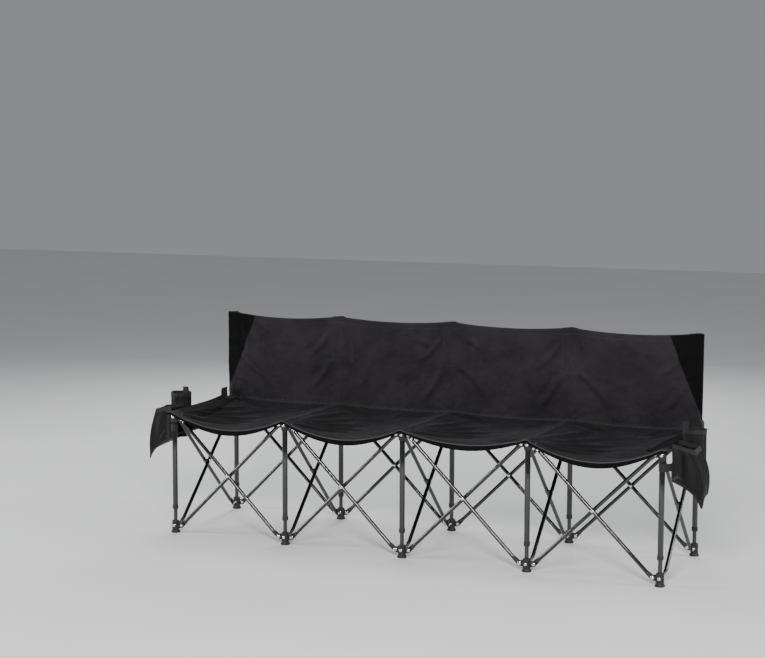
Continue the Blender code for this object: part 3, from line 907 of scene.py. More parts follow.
class Cloth:
    """A grid of points over flat coordinates, xs across and ss along, both in metres of cloth."""

    def __init__(self, xs, ss, points):
        self.xs, self.ss, self.points = xs, ss, points
        self.normals = grid_normals(points)

    def at(self, x, s):
        """Points and normals at flat coordinates, both arrays of one shape."""
        column = np.interp(x, self.xs, np.arange(len(self.xs)))
        row = np.interp(s, self.ss, np.arange(len(self.ss)))
        c = np.clip(column.astype(int), 0, len(self.xs) - 2)
        r = np.clip(row.astype(int), 0, len(self.ss) - 2)
        u, v = (column - c)[..., None], (row - r)[..., None]
        found = []
        for grid in (self.points, self.normals):
            low = grid[r, c] * (1 - u) + grid[r, c + 1] * u
            high = grid[r + 1, c] * (1 - u) + grid[r + 1, c + 1] * u
            found.append(low * (1 - v) + high * v)
        points, normals = found
        return points, normals / np.linalg.norm(normals, axis=-1, keepdims=True)


class Sheet(Cloth):
    """The seat and backrest as points over flat coordinates: x across, s from the front hem up."""

    def __init__(self):
        self.xs = sheet_columns()
        seat = np.linspace(LIP, SEAM_S, SEAT_ROWS + 1)
        back = SEAM_S + np.linspace(0, BACK_HEIGHT, BACK_ROWS + 1)[1:]
        self.ss = np.concatenate([[0.0], seat, back])
        self.end, self.top_s = self.xs[-1], self.ss[-1]
        self.points = self.hung()

    def grids(self):
        """Flat coordinates, share of the way across the bay, slack, and what is outside the bays."""
        x, s = np.meshgrid(self.xs, self.ss)
        bay, across = bay_share(x)
        share = s / self.top_s
        slack = np.zeros_like(x)
        for k in range(len(BAYS)):
            here = np.interp(share, SLACK_AT, SLACK[:, k])
            slack = np.where(bay == k, here, slack)
        beyond = np.abs(x) > abs(station_x(1))
        return x, s, across, np.where(beyond, 0.0, slack), beyond

    def lip_drop(self, across, beyond):
        """How deep the turned-down lip is: short over the hubs, where their rivets show."""
        return LIP * np.where(beyond, 0.75, 0.75 + 0.95 * np.sin(math.pi * across) ** 1.5)

    def hung(self):
        """The shape before simulation: every bay already sagging by its slack."""
        x, s, across, slack, beyond = self.grids()
        on_back = s > SEAM_S
        up = ramp(s, SEAM_S, BACK_HEIGHT)
        sag = BAY * np.sqrt(slack * 3 / 8) * 4 * across * (1 - across)
        sag = np.where(beyond, 0, sag)
        depth = ramp(s, LIP, SEAM_S - LIP)
        belly = SEAT_BELLY * np.sin(math.pi * depth)
        belly = belly * np.where(beyond, 1, 1 - 0.5 * np.abs(2 * across - 1))
        y = np.where(on_back, BACK_Y, SEAT_FRONT_Y + np.maximum(s - LIP, 0))
        z = np.where(on_back, SEAT_Z + (s - SEAM_S), SEAT_Z)
        z = np.where(s < LIP / 2, z - self.lip_drop(across, beyond), z)
        z = z - np.where(on_back, sag * (0.5 + 0.5 * up), sag + belly)
        y = y - np.where(on_back, 0.6 * sag * (1 - up) * up * 4, 0)
        y = y + START_WOBBLE * ripple(x, s, 3.0) * np.where(on_back, np.sin(math.pi * up), 0)
        z = z + START_WOBBLE * ripple(x, s, 5.0) * np.where(on_back, 0, np.sin(math.pi * depth))
        return np.stack([x, y, z], -1)

    def flat(self):
        """The cut pattern, with its extra cloth."""
        x, s, across, slack, beyond = self.grids()
        step = np.diff(x, axis=1) * (1 + (slack[:, 1:] + slack[:, :-1]) / 2)
        wide = np.concatenate([np.zeros((len(self.ss), 1)), np.cumsum(step, axis=1)], 1)
        wide = wide - wide[:, [wide.shape[1] // 2]]
        bow = np.where(beyond, 0.004, 0.005 + 0.008 * np.sin(math.pi * across) ** 2)
        rise = np.diff(s, axis=0) * (1 + (bow[1:] + bow[:-1]) / 2)
        rise[0] = self.lip_drop(across, beyond)[0]
        long = np.concatenate([np.zeros((1, len(self.xs))), np.cumsum(rise, axis=0)], 0)
        return np.stack([wide, long, np.zeros_like(wide)], -1)

    def held(self):
        """Points fixed to the hubs, along the seam, or in the pockets over the posts."""
        x, s, _, _, _ = self.grids()
        place = (x - station_x(1)) / BAY
        near = np.abs(place - np.round(place)) * BAY < HOLD_HALF_WIDTH
        at_hub = np.abs(s - LIP - (FRONT_Y - SEAT_FRONT_Y)) < HOLD_HALF_WIDTH
        at_seam = np.abs(s - SEAM_S) < HOLD_HALF_WIDTH
        in_pocket = s > self.top_s - POCKET_HEIGHT
        return near & (at_hub | at_seam | in_pocket)

    def simulate(self):
        """Lets the sheet settle between its holds, from the hung shape towards its cut pattern."""
        rows, columns = self.points.shape[:2]
        verts = self.points.reshape(-1, 3)
        mesh = bpy.data.meshes.new("sheet_sim")
        mesh.from_pydata(verts.tolist(), [], grid_quads(rows, columns).reshape(-1, 4).tolist())
        cloth = bpy.data.objects.new("sheet_sim", mesh)
        bpy.context.collection.objects.link(cloth)
        cloth.shape_key_add(name="hung")
        cut = cloth.shape_key_add(name="cut")
        cut.data.foreach_set("co", self.flat().reshape(-1))
        cut.value = 0.0
        pins = cloth.vertex_groups.new(name="pins")
        pins.add(np.nonzero(self.held().reshape(-1))[0].tolist(), 1.0, "REPLACE")
        modifier = cloth.modifiers.new("cloth", "CLOTH")
        for setting, value in CLOTH_SETTINGS.items():
            setattr(modifier.settings, setting, value)
        modifier.settings.rest_shape_key = cut
        modifier.collision_settings.use_collision = False
        modifier.collision_settings.use_self_collision = False
        modifier.point_cache.frame_start = 1
        modifier.point_cache.frame_end = FRAMES
        scene = bpy.context.scene
        for number in range(1, FRAMES + 1):
            scene.frame_set(number)
        depsgraph = bpy.context.evaluated_depsgraph_get()
        settled = cloth.evaluated_get(depsgraph).data
        result = np.empty(len(verts) * 3)
        settled.vertices.foreach_get("co", result)
        bpy.data.objects.remove(cloth, do_unlink=True)
        bpy.data.meshes.remove(mesh)
        scene.frame_set(1)
        moved = result.reshape(rows, columns, 3) - self.points
        length = np.linalg.norm(moved, axis=-1, keepdims=True)
        self.points = self.points + moved * np.minimum(1, MOST_MOVED / np.maximum(length, 1e-9))

    def refine(self):
        """Passes smooth curves through the simulated points, then takes normals."""
        self.points = finer(finer(self.points, 0), 1)
        self.xs = finer(self.xs, 0)
        self.ss = finer(self.ss, 0)
        self.fold()
        self.pucker()
        self.normals = grid_normals(self.points)

    def raise_by(self, lift):
        self.points = self.points + grid_normals(self.points) * lift[..., None]

    def fold(self):
        """Long creases: each runs from one flat point to another and dies away at both ends."""
        x, s = np.meshgrid(self.xs, self.ss)
        lift = np.zeros_like(x)
        for x0, s0, x1, s1, wide, height in self.creases():
            length = math.hypot(x1 - x0, s1 - s0)
            along = ((x - x0) * (x1 - x0) + (s - s0) * (s1 - s0)) / length ** 2
            off = ((x - x0) * (s1 - s0) - (s - s0) * (x1 - x0)) / length
            off = off + CREASE_BOW * np.sin(math.pi * along)
            ease = np.clip(along * 5, 0, 1) * np.clip((1 - along) * 2.2, 0, 1)
            trough = 0.55 * np.exp(-((off - 1.9 * wide) / (1.4 * wide)) ** 2)
            ridge = np.exp(-(off / wide) ** 2) - trough
            lift += height * ease * ease * (3 - 2 * ease) * ridge
        on_back = ramp(s, SEAM_S + 0.01, 0.03) * ramp(-s, -self.top_s, 0.04)
        on_seat = ramp(-s, 0.02 - SEAM_S, 0.03) * ramp(s, 0.05, 0.05)
        for seed, sharp in CRUMPLES:
            crumple = (1 - np.abs(ripple(x * 0.8, s * 0.7, seed))) ** sharp
            lift += crumple * (BACK_CRUMPLE * on_back + SEAT_CRUMPLE * on_seat)
        self.raise_by(lift)

    def creases(self):
        """Drag lines from the hubs and pockets, and the slack that hangs from the left end.

        Each is x and s of its start, x and s of its end, its half width and its height.
        """
        top_s = self.top_s
        pocket_s = top_s - POCKET_HEIGHT
        lines = []
        for station in STATIONS:
            x = station_x(station)
            sway = math.sin(station * 2.3)
            if station < STATIONS[-1]:
                for k, (reach, rise) in enumerate(DRAGS_RIGHT):
                    lines.append((x + 0.020, HUB_S + 0.010 + 0.012 * k, x + reach + 0.02 * sway,
                                  HUB_S + rise, 0.0090 + 0.0010 * k, 0.0088 - 0.0008 * k))
                lines += [
                    (x + 0.026, SEAM_S - 0.012, x + 0.20, SEAM_S - 0.11 + 0.02 * sway, 0.012, 0.0066),
                    (x + 0.030, pocket_s + 0.010, x + 0.15, SEAM_S + 0.05, 0.011, 0.0085 + 0.0015 * sway),
                    (x + 0.036, top_s - 0.030, x + 0.060, pocket_s - 0.01, 0.009, 0.0055),
                ]
            if station > STATIONS[0]:
                for k, (reach, rise) in enumerate(DRAGS_LEFT):
                    lines.append((x - 0.020, HUB_S + 0.010 + 0.014 * k, x - reach + 0.02 * sway,
                                  HUB_S + rise, 0.0095 + 0.001 * k, 0.0068 - 0.0006 * k))
                lines += [
                    (x - 0.026, SEAM_S - 0.012, x - 0.17, SEAM_S - 0.13, 0.013, 0.0056),
                    (x - 0.030, pocket_s + 0.006, x - 0.13, SEAM_S + 0.03 - 0.02 * sway, 0.012, 0.0078),
                    (x - 0.036, top_s - 0.050, x - 0.140, top_s - 0.150, 0.010, 0.0066),
                ]
        left, second, middle = (station_x(station) for station in (1, 2, CENTRE))
        return lines + [
            (left + 0.115, top_s - 0.020, left + 0.235, top_s - 0.120, 0.011, 0.0095),
            (left + 0.085, top_s - 0.070, left + 0.200, top_s - 0.190, 0.012, 0.0090),
            (left + 0.050, top_s - 0.170, left + 0.180, SEAM_S + 0.030, 0.013, 0.0090),
            (left + 0.020, top_s - 0.240, left + 0.110, SEAM_S + 0.012, 0.010, 0.0062),
            (middle + 0.075, top_s - 0.050, middle + 0.135, top_s - 0.140, 0.011, 0.0082),
            (middle - 0.150, top_s - 0.055, middle - 0.045, top_s - 0.120, 0.011, 0.0078),
            (second + 0.14, SEAM_S + 0.22, second + 0.06, SEAM_S + 0.04, 0.018, 0.0070),
        ]

    def pucker(self):
        """Small gathers fanning out from every hold and along the seam, too fine to simulate."""
        x, s = np.meshgrid(self.xs, self.ss)
        lift = np.zeros_like(x)
        for station in STATIONS:
            for row, hold_s, reach, height in (
                (1, HUB_S, 0.085, 0.0019),
                (2, SEAM_S, 0.070, 0.0016),
                (3, self.top_s - POCKET_HEIGHT, 0.060, 0.0012),
            ):
                dx, ds = x - station_x(station), s - hold_s
                away = np.hypot(dx, ds)
                turn = np.arctan2(ds, dx)
                fan = np.sin(9 * turn + 1.3 * station + 2.1 * row + 0.6 * np.sin(3 * turn + station))
                lift += height * fan * np.exp(-away / reach) * np.clip(away / 0.02 - 0.6, 0, 1)
        seam = np.exp(-(np.abs(s - SEAM_S) / 0.016) ** 2)
        lift += 0.0009 * seam * np.sin(x * 2 * math.pi / 0.021 + 1.5 * np.sin(x * 19))
        self.raise_by(lift)


def grid_quads(rows, columns):
    """The faces of a grid of points, as rows by columns of four corners."""
    index = np.arange(rows * columns).reshape(rows, columns)
    return np.stack([index[:-1, :-1], index[:-1, 1:], index[1:, 1:], index[1:, :-1]], -1)


def grid_normals(points):
    across = np.gradient(points, axis=1)
    along = np.gradient(points, axis=0)
    normals = np.cross(across, along)
    return normals / np.maximum(np.linalg.norm(normals, axis=-1, keepdims=True), 1e-12)


def finer(values, axis):
    """Catmull-Rom refinement of a grid along one axis."""
    values = np.moveaxis(values, axis, 0)
    first = 2 * values[0] - values[1]
    last = 2 * values[-1] - values[-2]
    padded = np.concatenate([first[None], values, last[None]])
    a, b, c, d = padded[:-3], padded[1:-2], padded[2:-1], padded[3:]
    pieces = []
    for step in range(FINER):
        t = step / FINER
        pieces.append(b + 0.5 * t * (c - a + t * (2 * a - 5 * b + 4 * c - d + t * (3 * (b - c) + d - a))))
    result = np.stack(pieces, 1).reshape(-1, *values.shape[1:])
    return np.moveaxis(np.concatenate([result, values[-1:]]), 0, axis)


def sheet_solid(name, sheet, x, s, top, bottom, material):
    """A closed thin piece of cloth over flat coordinates x and s, between two lifts off the sheet."""
    points, normals = sheet.at(x, s)
    top = np.broadcast_to(top, x.shape)[..., None]
    bottom = np.broadcast_to(bottom, x.shape)[..., None]
    return closed_cloth(name, points + normals * top, points + normals * bottom, normals, x, s, material)


def cloth_mesh(name, upper, lower, faces, u, v):
    """A mesh over two grids of points, with their flat coordinates as its UV map."""
    mesh = bpy.data.meshes.new(name)
    verts = np.concatenate([upper.reshape(-1, 3), lower.reshape(-1, 3)])
    mesh.from_pydata(verts.tolist(), [], faces.tolist())
    flat = np.stack([u.reshape(-1), v.reshape(-1)], -1)
    layer = mesh.uv_layers.new(name="UVMap")
    layer.data.foreach_set("uv", np.concatenate([flat, flat])[faces.reshape(-1)].reshape(-1))
    mesh.shade_smooth()
    return mesh


def closed_cloth(name, upper, lower, normals, u, v, material):
    """A closed solid between two grids of points that share their edges' order."""
    rows, columns = u.shape
    count = rows * columns
    faces = grid_quads(rows, columns).reshape(-1, 4)
    index = np.arange(count).reshape(rows, columns)
    ring = np.concatenate([index[0, :], index[1:, -1], index[-1, -2::-1], index[-2:0:-1, 0]])
    after = np.roll(ring, -1)
    rim = np.stack([after, ring, ring + count, after + count], -1)
    mesh = cloth_mesh(name, upper, lower, np.concatenate([faces, faces[:, ::-1] + count, rim]), u, v)
    sides = np.concatenate([normals.reshape(-1, 3), -normals.reshape(-1, 3)])
    mesh.normals_split_custom_set_from_vertices(sides.tolist())
    mesh.update()
    return add_piece(name, mesh, material)


TAPE_STEP = 0.005
TAPE_EDGE = 0.25                # a tape's thickness at its edges, as a share of its middle's
STITCH_PITCH = 0.0042
STITCH_LENGTH = 0.0030
STITCH_R = 0.00042


def spans(low, high, step):
    return np.linspace(low, high, max(2, int(round((high - low) / step)) + 1))


def soften(count):
    """Lifts across a band: full in the middle and easing down to its edges."""
    place = np.linspace(-1, 1, count)
    return TAPE_EDGE + (1 - TAPE_EDGE) * (1 - np.abs(place) ** 4) ** 0.5


def band(name, sheet, x_low, x_high, s_low, s_high, thick, material, across=9):
    """A strip of tape over the sheet, along whichever of x and s is longer."""
    lift = thick / 2 * soften(across)
    if x_high - x_low > s_high - s_low:
        x, s = np.meshgrid(spans(x_low, x_high, TAPE_STEP), np.linspace(s_low, s_high, across))
        lift = lift[:, None]
    else:
        x, s = np.meshgrid(np.linspace(x_low, x_high, across), spans(s_low, s_high, TAPE_STEP))
        lift = lift[None, :]
    return sheet_solid(name, sheet, x, s, lift, -lift, material)


def stitch_mesh(name, sheet, lines, lift, material):
    """Rows of stitches along flat lines, given as lists of (x, s) corners."""
    starts, ends = [], []
    for line in lines:
        for (x0, s0), (x1, s1) in zip(line, line[1:]):
            span = math.hypot(x1 - x0, s1 - s0)
            count = max(1, int(span / STITCH_PITCH))
            t = (np.arange(count) + 0.5) / count
            half = STITCH_LENGTH / 2 / span
            for at, store in ((t - half, starts), (t + half, ends)):
                store.append(np.stack([x0 + (x1 - x0) * at, s0 + (s1 - s0) * at], -1))
    a, b = np.concatenate(starts), np.concatenate(ends)
    pa, na = sheet.at(a[:, 0], a[:, 1])
    pb, nb = sheet.at(b[:, 0], b[:, 1])
    pa, pb = pa + na * lift, pb + nb * lift
    along = pb - pa
    along /= np.linalg.norm(along, axis=-1, keepdims=True)
    side = np.cross(along, na) * STITCH_R
    crown = na * STITCH_R
    centre = (pa + pb) / 2
    corners = [pa, centre + side, centre + crown, centre - side, centre - crown, pb]
    verts = np.stack(corners, 1).reshape(-1, 3)
    pattern = np.array([(0, 1, 2), (0, 2, 3), (0, 3, 4), (0, 4, 1),
                        (5, 2, 1), (5, 3, 2), (5, 4, 3), (5, 1, 4)])
    faces = (pattern[None] + 6 * np.arange(len(a))[:, None, None]).reshape(-1, 3)
    mesh = bpy.data.meshes.new(name)
    mesh.from_pydata(verts.tolist(), [], faces.tolist())
    mesh.shade_smooth()
    return add_piece(name, mesh, material)


END_TAPE_WIDTH = 0.014
# A pale band along the hem's fold, a painted highlight
HEM_HIGHLIGHT_HALF_WIDTH = 0.0018
HEM_HIGHLIGHT_THICK = 0.0052
WELT_HALF_WIDTH = 0.0035
WELT_THICK = 0.0042
TRIM = 0.002                    # the panels stop this far inside their hems' edges


def soft_ride(piece, body):
    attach(piece, body)
    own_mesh(piece)
    return piece


def build_cloth(looks):
    sheet = Sheet()
    sheet.simulate()
    sheet.refine()
    half = CLOTH_THICK / 2
    end, top_s = sheet.end, sheet.top_s
    fine = BAY / COLUMNS_PER_BAY / FINER
    for name, body, low, high, material in (
        ("seat_front", "seat_front", TRIM, SPLIT_S, looks.seat),
        ("seat_rear", "seat_rear", SPLIT_S, SEAM_S, looks.seat),
        ("backrest", "rear_post_3", SEAM_S, top_s - TRIM, looks.back),
    ):
        x, s = np.meshgrid(spans(-end + TRIM, end - TRIM, fine), spans(low, high, fine))
        panel = soft_ride(sheet_solid(name + "_cloth", sheet, x, s, half, -half, material), body)
        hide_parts(name)
    for name, body, low, high, material in (
        ("seat_hem_front", "seat_front", LIP, LIP + HEM_WIDTH, looks.seat),
        ("backrest_hem_top", "rear_post_3", top_s - HEM_WIDTH, top_s, looks.back),
    ):
        soft_ride(band(name, sheet, -end, end, low, high, HEM_THICK, material), body)
    # The turned-down lip in the dark trim canvas: painted shade on cloth that faces down and forward
    x, s = np.meshgrid(spans(-end, end, TAPE_STEP), np.linspace(0, LIP, 6))
    lift = (HEM_THICK / 2 * np.linspace(0.55, 1, 6))[:, None]
    soft_ride(sheet_solid("seat_lip", sheet, x, s, lift, -lift, looks.trim_and_painted_shade), "seat_front")
    # A pale band on the hem's fold: painted highlight where the fold catches the light
    soft_ride(band("seat_hem_highlight", sheet, -end, end, LIP - HEM_HIGHLIGHT_HALF_WIDTH, LIP + HEM_HIGHLIGHT_HALF_WIDTH,
                   HEM_HIGHLIGHT_THICK, looks.hem_highlight, across=7), "seat_front")
    for name, body, low, high in (
        ("seat_front_end", "seat_front", LIP + HEM_WIDTH, SPLIT_S),
        ("seat_rear_end", "seat_rear", SPLIT_S, SEAM_S),
        ("backrest_end", "rear_post_3", SEAM_S, top_s - HEM_WIDTH),
    ):
        for side, x0, x1 in (("left", -end, -end + END_TAPE_WIDTH), ("right", end - END_TAPE_WIDTH, end)):
            tape = band(f"{name}_{side}", sheet, x0, x1, low, high, HEM_THICK * 0.9, looks.tape)
            soft_ride(tape, body)
    soft_ride(band("seam_welt", sheet, -end, end, SEAM_S - WELT_HALF_WIDTH, SEAM_S + WELT_HALF_WIDTH,
                   WELT_THICK, looks.tape, across=7), "rear_post_3")
    build_stitches(looks, sheet)
    build_end_shade(looks, sheet)
    build_pockets(looks)
    build_patches(looks, sheet)


def pocket_edges(station, margin):
    """The left and right edges of a post's pocket, kept this far inside the sheet's ends."""
    centre = station_x(station)
    return (max(centre - POCKET_HALF_WIDTH, -SEAT_END_X + margin),
            min(centre + POCKET_HALF_WIDTH, SEAT_END_X - margin))


def build_stitches(looks, sheet):
    top_s = sheet.top_s
    edge = HEM_WIDTH - 0.003
    lift = HEM_THICK / 2 + 0.0001
    low_lift = CLOTH_THICK / 2 + 0.0002

    def across(s):
        return [(-sheet.end, s), (sheet.end, s)]

    pocket_lines = []
    for station in STATIONS:
        left, right = pocket_edges(station, 0.004)
        base, top = top_s - POCKET_HEIGHT, top_s - HEM_WIDTH
        pocket_lines.append([(left, top), (left, base), (right, base), (right, top)])
    for name, body, lines, height in (
        ("seat_front", "seat_front", [across(LIP + edge), across(LIP + 0.005)], lift),
        ("back_top", "rear_post_3", [across(top_s - edge), across(top_s - 0.004)], lift),
        ("back", "rear_post_3", [across(SEAM_S + 0.007)] + pocket_lines, low_lift),
        ("seat_rear", "seat_rear", [across(SEAM_S - 0.007)], low_lift),
    ):
        soft_ride(stitch_mesh("stitches_" + name, sheet, lines, height, looks.thread), body)


# Widths of the dark cloth laid over the sheet's ends as painted shade
BACK_END_SHADE_WIDTH = 0.112
SEAT_END_SHADE_AT = (0.02, 0.07, 0.13, 0.24, 0.34, SEAM_S)
SEAT_END_SHADE_WIDTH = (0.012, 0.070, 0.100, 0.088, 0.062, 0.040)


def end_shade(looks, sheet, sign, body, name, s, wide, count, thick):
    """Dark cloth laid over one end of the sheet as painted shade, so wide at each s."""
    x = sign * (sheet.end - TRIM - wide[:, None] * np.linspace(0, 1, count)[None, :])
    x = x[:, ::-1] if sign > 0 else x
    grid_s = np.repeat(s[:, None], count, 1)
    soft_ride(sheet_solid(name, sheet, x, grid_s, thick, 0.0002, looks.trim_and_painted_shade), body)


def build_end_shade(looks, sheet):
    """Painted shade at the sheet's ends: dark triangles on the backrest, widest at the top, and dark
    strips along the seat's ends.
    """
    ends = (("left", -1), ("right", 1))
    for side, sign in ends:
        s = spans(SEAM_S + 0.05, sheet.top_s - 0.003, 0.004)
        wide = BACK_END_SHADE_WIDTH * ((s - s[0]) / (s[-1] - s[0])) ** 0.92 + 0.002
        end_shade(looks, sheet, sign, "rear_post_3", f"gusset_{side}", s, wide, 28, 0.0024)
    for side, sign in ends:
        for body, low, high in (
            ("seat_front", LIP + 0.012, SPLIT_S),
            ("seat_rear", SPLIT_S, SEAM_S - 0.004),
        ):
            s = spans(low, high, 0.005)
            wide = np.interp(s, SEAT_END_SHADE_AT, SEAT_END_SHADE_WIDTH)
            end_shade(looks, sheet, sign, body, f"{body}_gusset_{side}", s, wide, 24, 0.0019)


# ---------------------------------------------------------------- pockets over the posts, hub patches

POCKET_CLEAR = TUBE_R + 0.0026   # from a post's middle to its pocket's cloth
POCKET_HEM = 0.012
FLAT_Y = 0.0012                  # how far behind the backrest the pocket's edges lie
PATCH_STEP = 0.003


def pocket_outline(station):
    """A pocket's cloth seen from above: from the backrest, round the post, and back to it."""
    centre = station_x(station)
    left, right = pocket_edges(station, 0.002)
    outline = [(left, FLAT_Y), (left + 0.004, 0.0016)]
    if left > centre - POCKET_CLEAR - 0.004:
        outline = [(centre - POCKET_CLEAR - 0.002, FLAT_Y)]
    outline += arc(centre, REAR_Y - BACK_Y, POCKET_CLEAR, math.pi, 0, 12)
    if right < centre + POCKET_CLEAR + 0.004:
        outline.append((centre + POCKET_CLEAR + 0.002, FLAT_Y))
    else:
        outline += [(right - 0.004, 0.0016), (right, FLAT_Y)]
    return np.array(outline)


def pocket_cloth(station):
    outline = pocket_outline(station)
    run = run_along(outline)
    fine = spans(0, run[-1], 0.003)
    heights = spans(BACK_TOP_Z - POCKET_HEIGHT - POCKET_HEM, BACK_TOP_Z - 0.0015, 0.005)
    x, z = np.meshgrid(np.interp(fine, run, outline[:, 0]), heights)
    y = np.broadcast_to(np.interp(fine, run, outline[:, 1]), x.shape)
    share = (heights - heights[0]) / (heights[-1] - heights[0])
    slack = 0.0008 * np.sin(z * 170 + 3 * np.sin(x * 60 + station)) + 0.0014 * (1 - share)[:, None] ** 3
    bulge = ramp(y, 0.004, REAR_Y - BACK_Y)
    points = np.stack([x, BACK_Y + y + slack * bulge, z], -1)
    return Cloth(fine, heights - heights[0], points[:, ::-1])


def build_pockets(looks):
    """The sleeve behind the backrest at each post, which keeps its shape as the bench folds."""
    half = CLOTH_THICK / 2
    for station in STATIONS:
        body = f"rear_post_{station}"
        pocket = pocket_cloth(station)
        around, tall = pocket.xs[-1], pocket.ss[-1]
        x, v = np.meshgrid(pocket.xs, pocket.ss)
        wall = sheet_solid(f"post_pocket_{station}", pocket, x, v, half, -half, looks.back)
        ride(wall, body)
        x, v = np.meshgrid(pocket.xs, np.linspace(0, POCKET_HEM, 7))
        lift = (0.0016 * soften(7))[:, None]
        hem = sheet_solid(f"post_pocket_hem_{station}", pocket, x, v, lift, -lift, looks.tape)
        ride(hem, body)
        rows = [[(0.002, 0.010), (around - 0.002, 0.010)],
                [(0.002, 0.014), (0.002, tall)],
                [(around - 0.002, 0.014), (around - 0.002, tall)]]
        stitches = stitch_mesh(f"post_pocket_stitches_{station}", pocket, rows, 0.0018, looks.thread)
        ride(stitches, body)


def build_patches(looks, sheet):
    """Doubled cloth and box stitching where each hub holds the seat."""
    rows = {"seat_front": [], "seat_rear": []}
    for station in STATIONS:
        centre = station_x(station)
        for body, low, high, wide in (
            ("seat_front", HUB_S - 0.018, HUB_S + 0.034, 0.026),
            ("seat_rear", SEAM_S - 0.050, SEAM_S - 0.010, 0.024),
        ):
            left, right = max(centre - wide, -SEAT_END_X + 0.003), min(centre + wide, SEAT_END_X - 0.003)
            x, s = np.meshgrid(spans(left, right, PATCH_STEP), spans(low, high, PATCH_STEP))
            edge = np.minimum(np.minimum(x - left, right - x), np.minimum(s - low, high - s))
            top = CLOTH_THICK / 2 + 0.0003 + 0.0013 * np.clip(edge / 0.002, 0, 1) ** 0.5
            name = f"{body}_patch_{station}"
            soft_ride(sheet_solid(name, sheet, x, s, top, 0.0, looks.seat), body)
            a, b, c, d = left + 0.003, right - 0.003, low + 0.003, high - 0.003
            rows[body] += [[(a, c), (b, c), (b, d), (a, d), (a, c)], [(a, c), (b, d)], [(a, d), (b, c)]]
    for body, lines in rows.items():
        soft_ride(stitch_mesh(f"stitches_{body}_patches", sheet, lines, 0.0023, looks.thread), body)


# ---------------------------------------------------------------- organiser at each end

POUCH_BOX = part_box("side_pouch_right")
SLEEVE_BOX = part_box("bottle_sleeve_right")
PANEL_X = POUCH_BOX[0][0] + 0.0039   # the middle of the panel's cloth
PANEL_FRONT_Y = POUCH_BOX[0][1]
PANEL_REAR_Y = POUCH_BOX[1][1]
PANEL_LOW_Z = 0.347
PANEL_TOP_Z = 0.4425
PANEL_TALL = 0.105
PANEL_TAPE = 0.010
BAG_DEEP = 0.087                # from front to rear
BAG_FRONT_Y = PANEL_FRONT_Y + 0.002
BAG_REAR_Y = PANEL_FRONT_Y + BAG_DEEP
BAG_OUT_LOW = POUCH_BOX[1][0] - 0.0023
BAG_OUT_TOP = BAG_OUT_LOW - 0.0300
BAG_CORNER = 0.007
BAG_LOW_Z = 0.338
BAG_TOP_Z = 0.459
BAG_TIP_DROP = 0.050            # how far the outer front corner hangs under the rest
BAG_TIP_REACH = 0.017
BAG_AROUND = 0.275              # its wall's cloth, laid flat
BAG_TALL = 0.150
BAG_INSET = 0.005               # its floor, inside its walls' corners
SLEEVE_R = (SLEEVE_BOX[1][1] - SLEEVE_BOX[0][1]) / 2 - 0.0015
SLEEVE_X = (SLEEVE_BOX[0][0] + SLEEVE_BOX[1][0]) / 2
SLEEVE_Y = (SLEEVE_BOX[0][1] + SLEEVE_BOX[1][1]) / 2
SLEEVE_LOW = SLEEVE_BOX[0][2] + 0.002
SLEEVE_HIGH = SLEEVE_BOX[1][2]
SLEEVE_FLOOR = (0.004, 0.012, 0.022, 0.031)   # radii of the floor's rings
SLEEVE_WALL_S = 0.037           # the flat coordinate where its wall starts
STRAP_Z = HUB_Z - 0.041
STRAP_WIDTH = 0.025
STRAP_THICK = 0.0014
NET_PITCH = 0.0046
NET_STRAND = 0.0034
NET_THICK = 0.0007
TAB_THICK = 0.0018
TAB_HALF_GAP = 0.0043
TAB_SEWN = 0.016                # how far the tab's two ends reach under its foot


class End:
    """One end of the bench: its cloth is drawn for the right, and mirrored at the left."""

    def __init__(self, looks, side, tag):
        self.looks, self.side, self.tag = looks, side, tag
        self.hub = f"front_hub_{STATIONS[0] if side < 0 else STATIONS[-1]}"

    def cloth(self, xs, ss, points):
        """A cloth over these points, with its rows kept facing out where it is mirrored."""
        if self.side < 0:
            points = (points * np.array([-1, 1, 1]))[:, ::-1]
        return Cloth(xs, ss, points)

    def ride(self, piece):
        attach(piece, self.hub)
        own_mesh(piece)
        return piece

    def solid(self, name, cloth, x, s, thick, material):
        half = thick / 2
        return self.ride(sheet_solid(f"{name}_{self.tag}", cloth, x, s, half, -half, material))

    def tape(self, name, cloth, xs, ss, thick, across=9):
        piece = band(f"{name}_{self.tag}", cloth, *xs, *ss, thick, self.looks.tape, across=across)
        self.ride(piece)

    def stitch(self, name, cloth, inset, heights, lift):
        """Straight rows of stitches at these heights, from end to end less an inset."""
        rows = [[(inset, s), (cloth.xs[-1] - inset, s)] for s in heights]
        self.ride(stitch_mesh(f"{name}_{self.tag}", cloth, rows, lift, self.looks.thread))

    def net(self, name, cloth, low, high):
        return self.ride(net(f"{name}_{self.tag}", cloth, 0.0, cloth.xs[-1], low, high, self.looks.net))


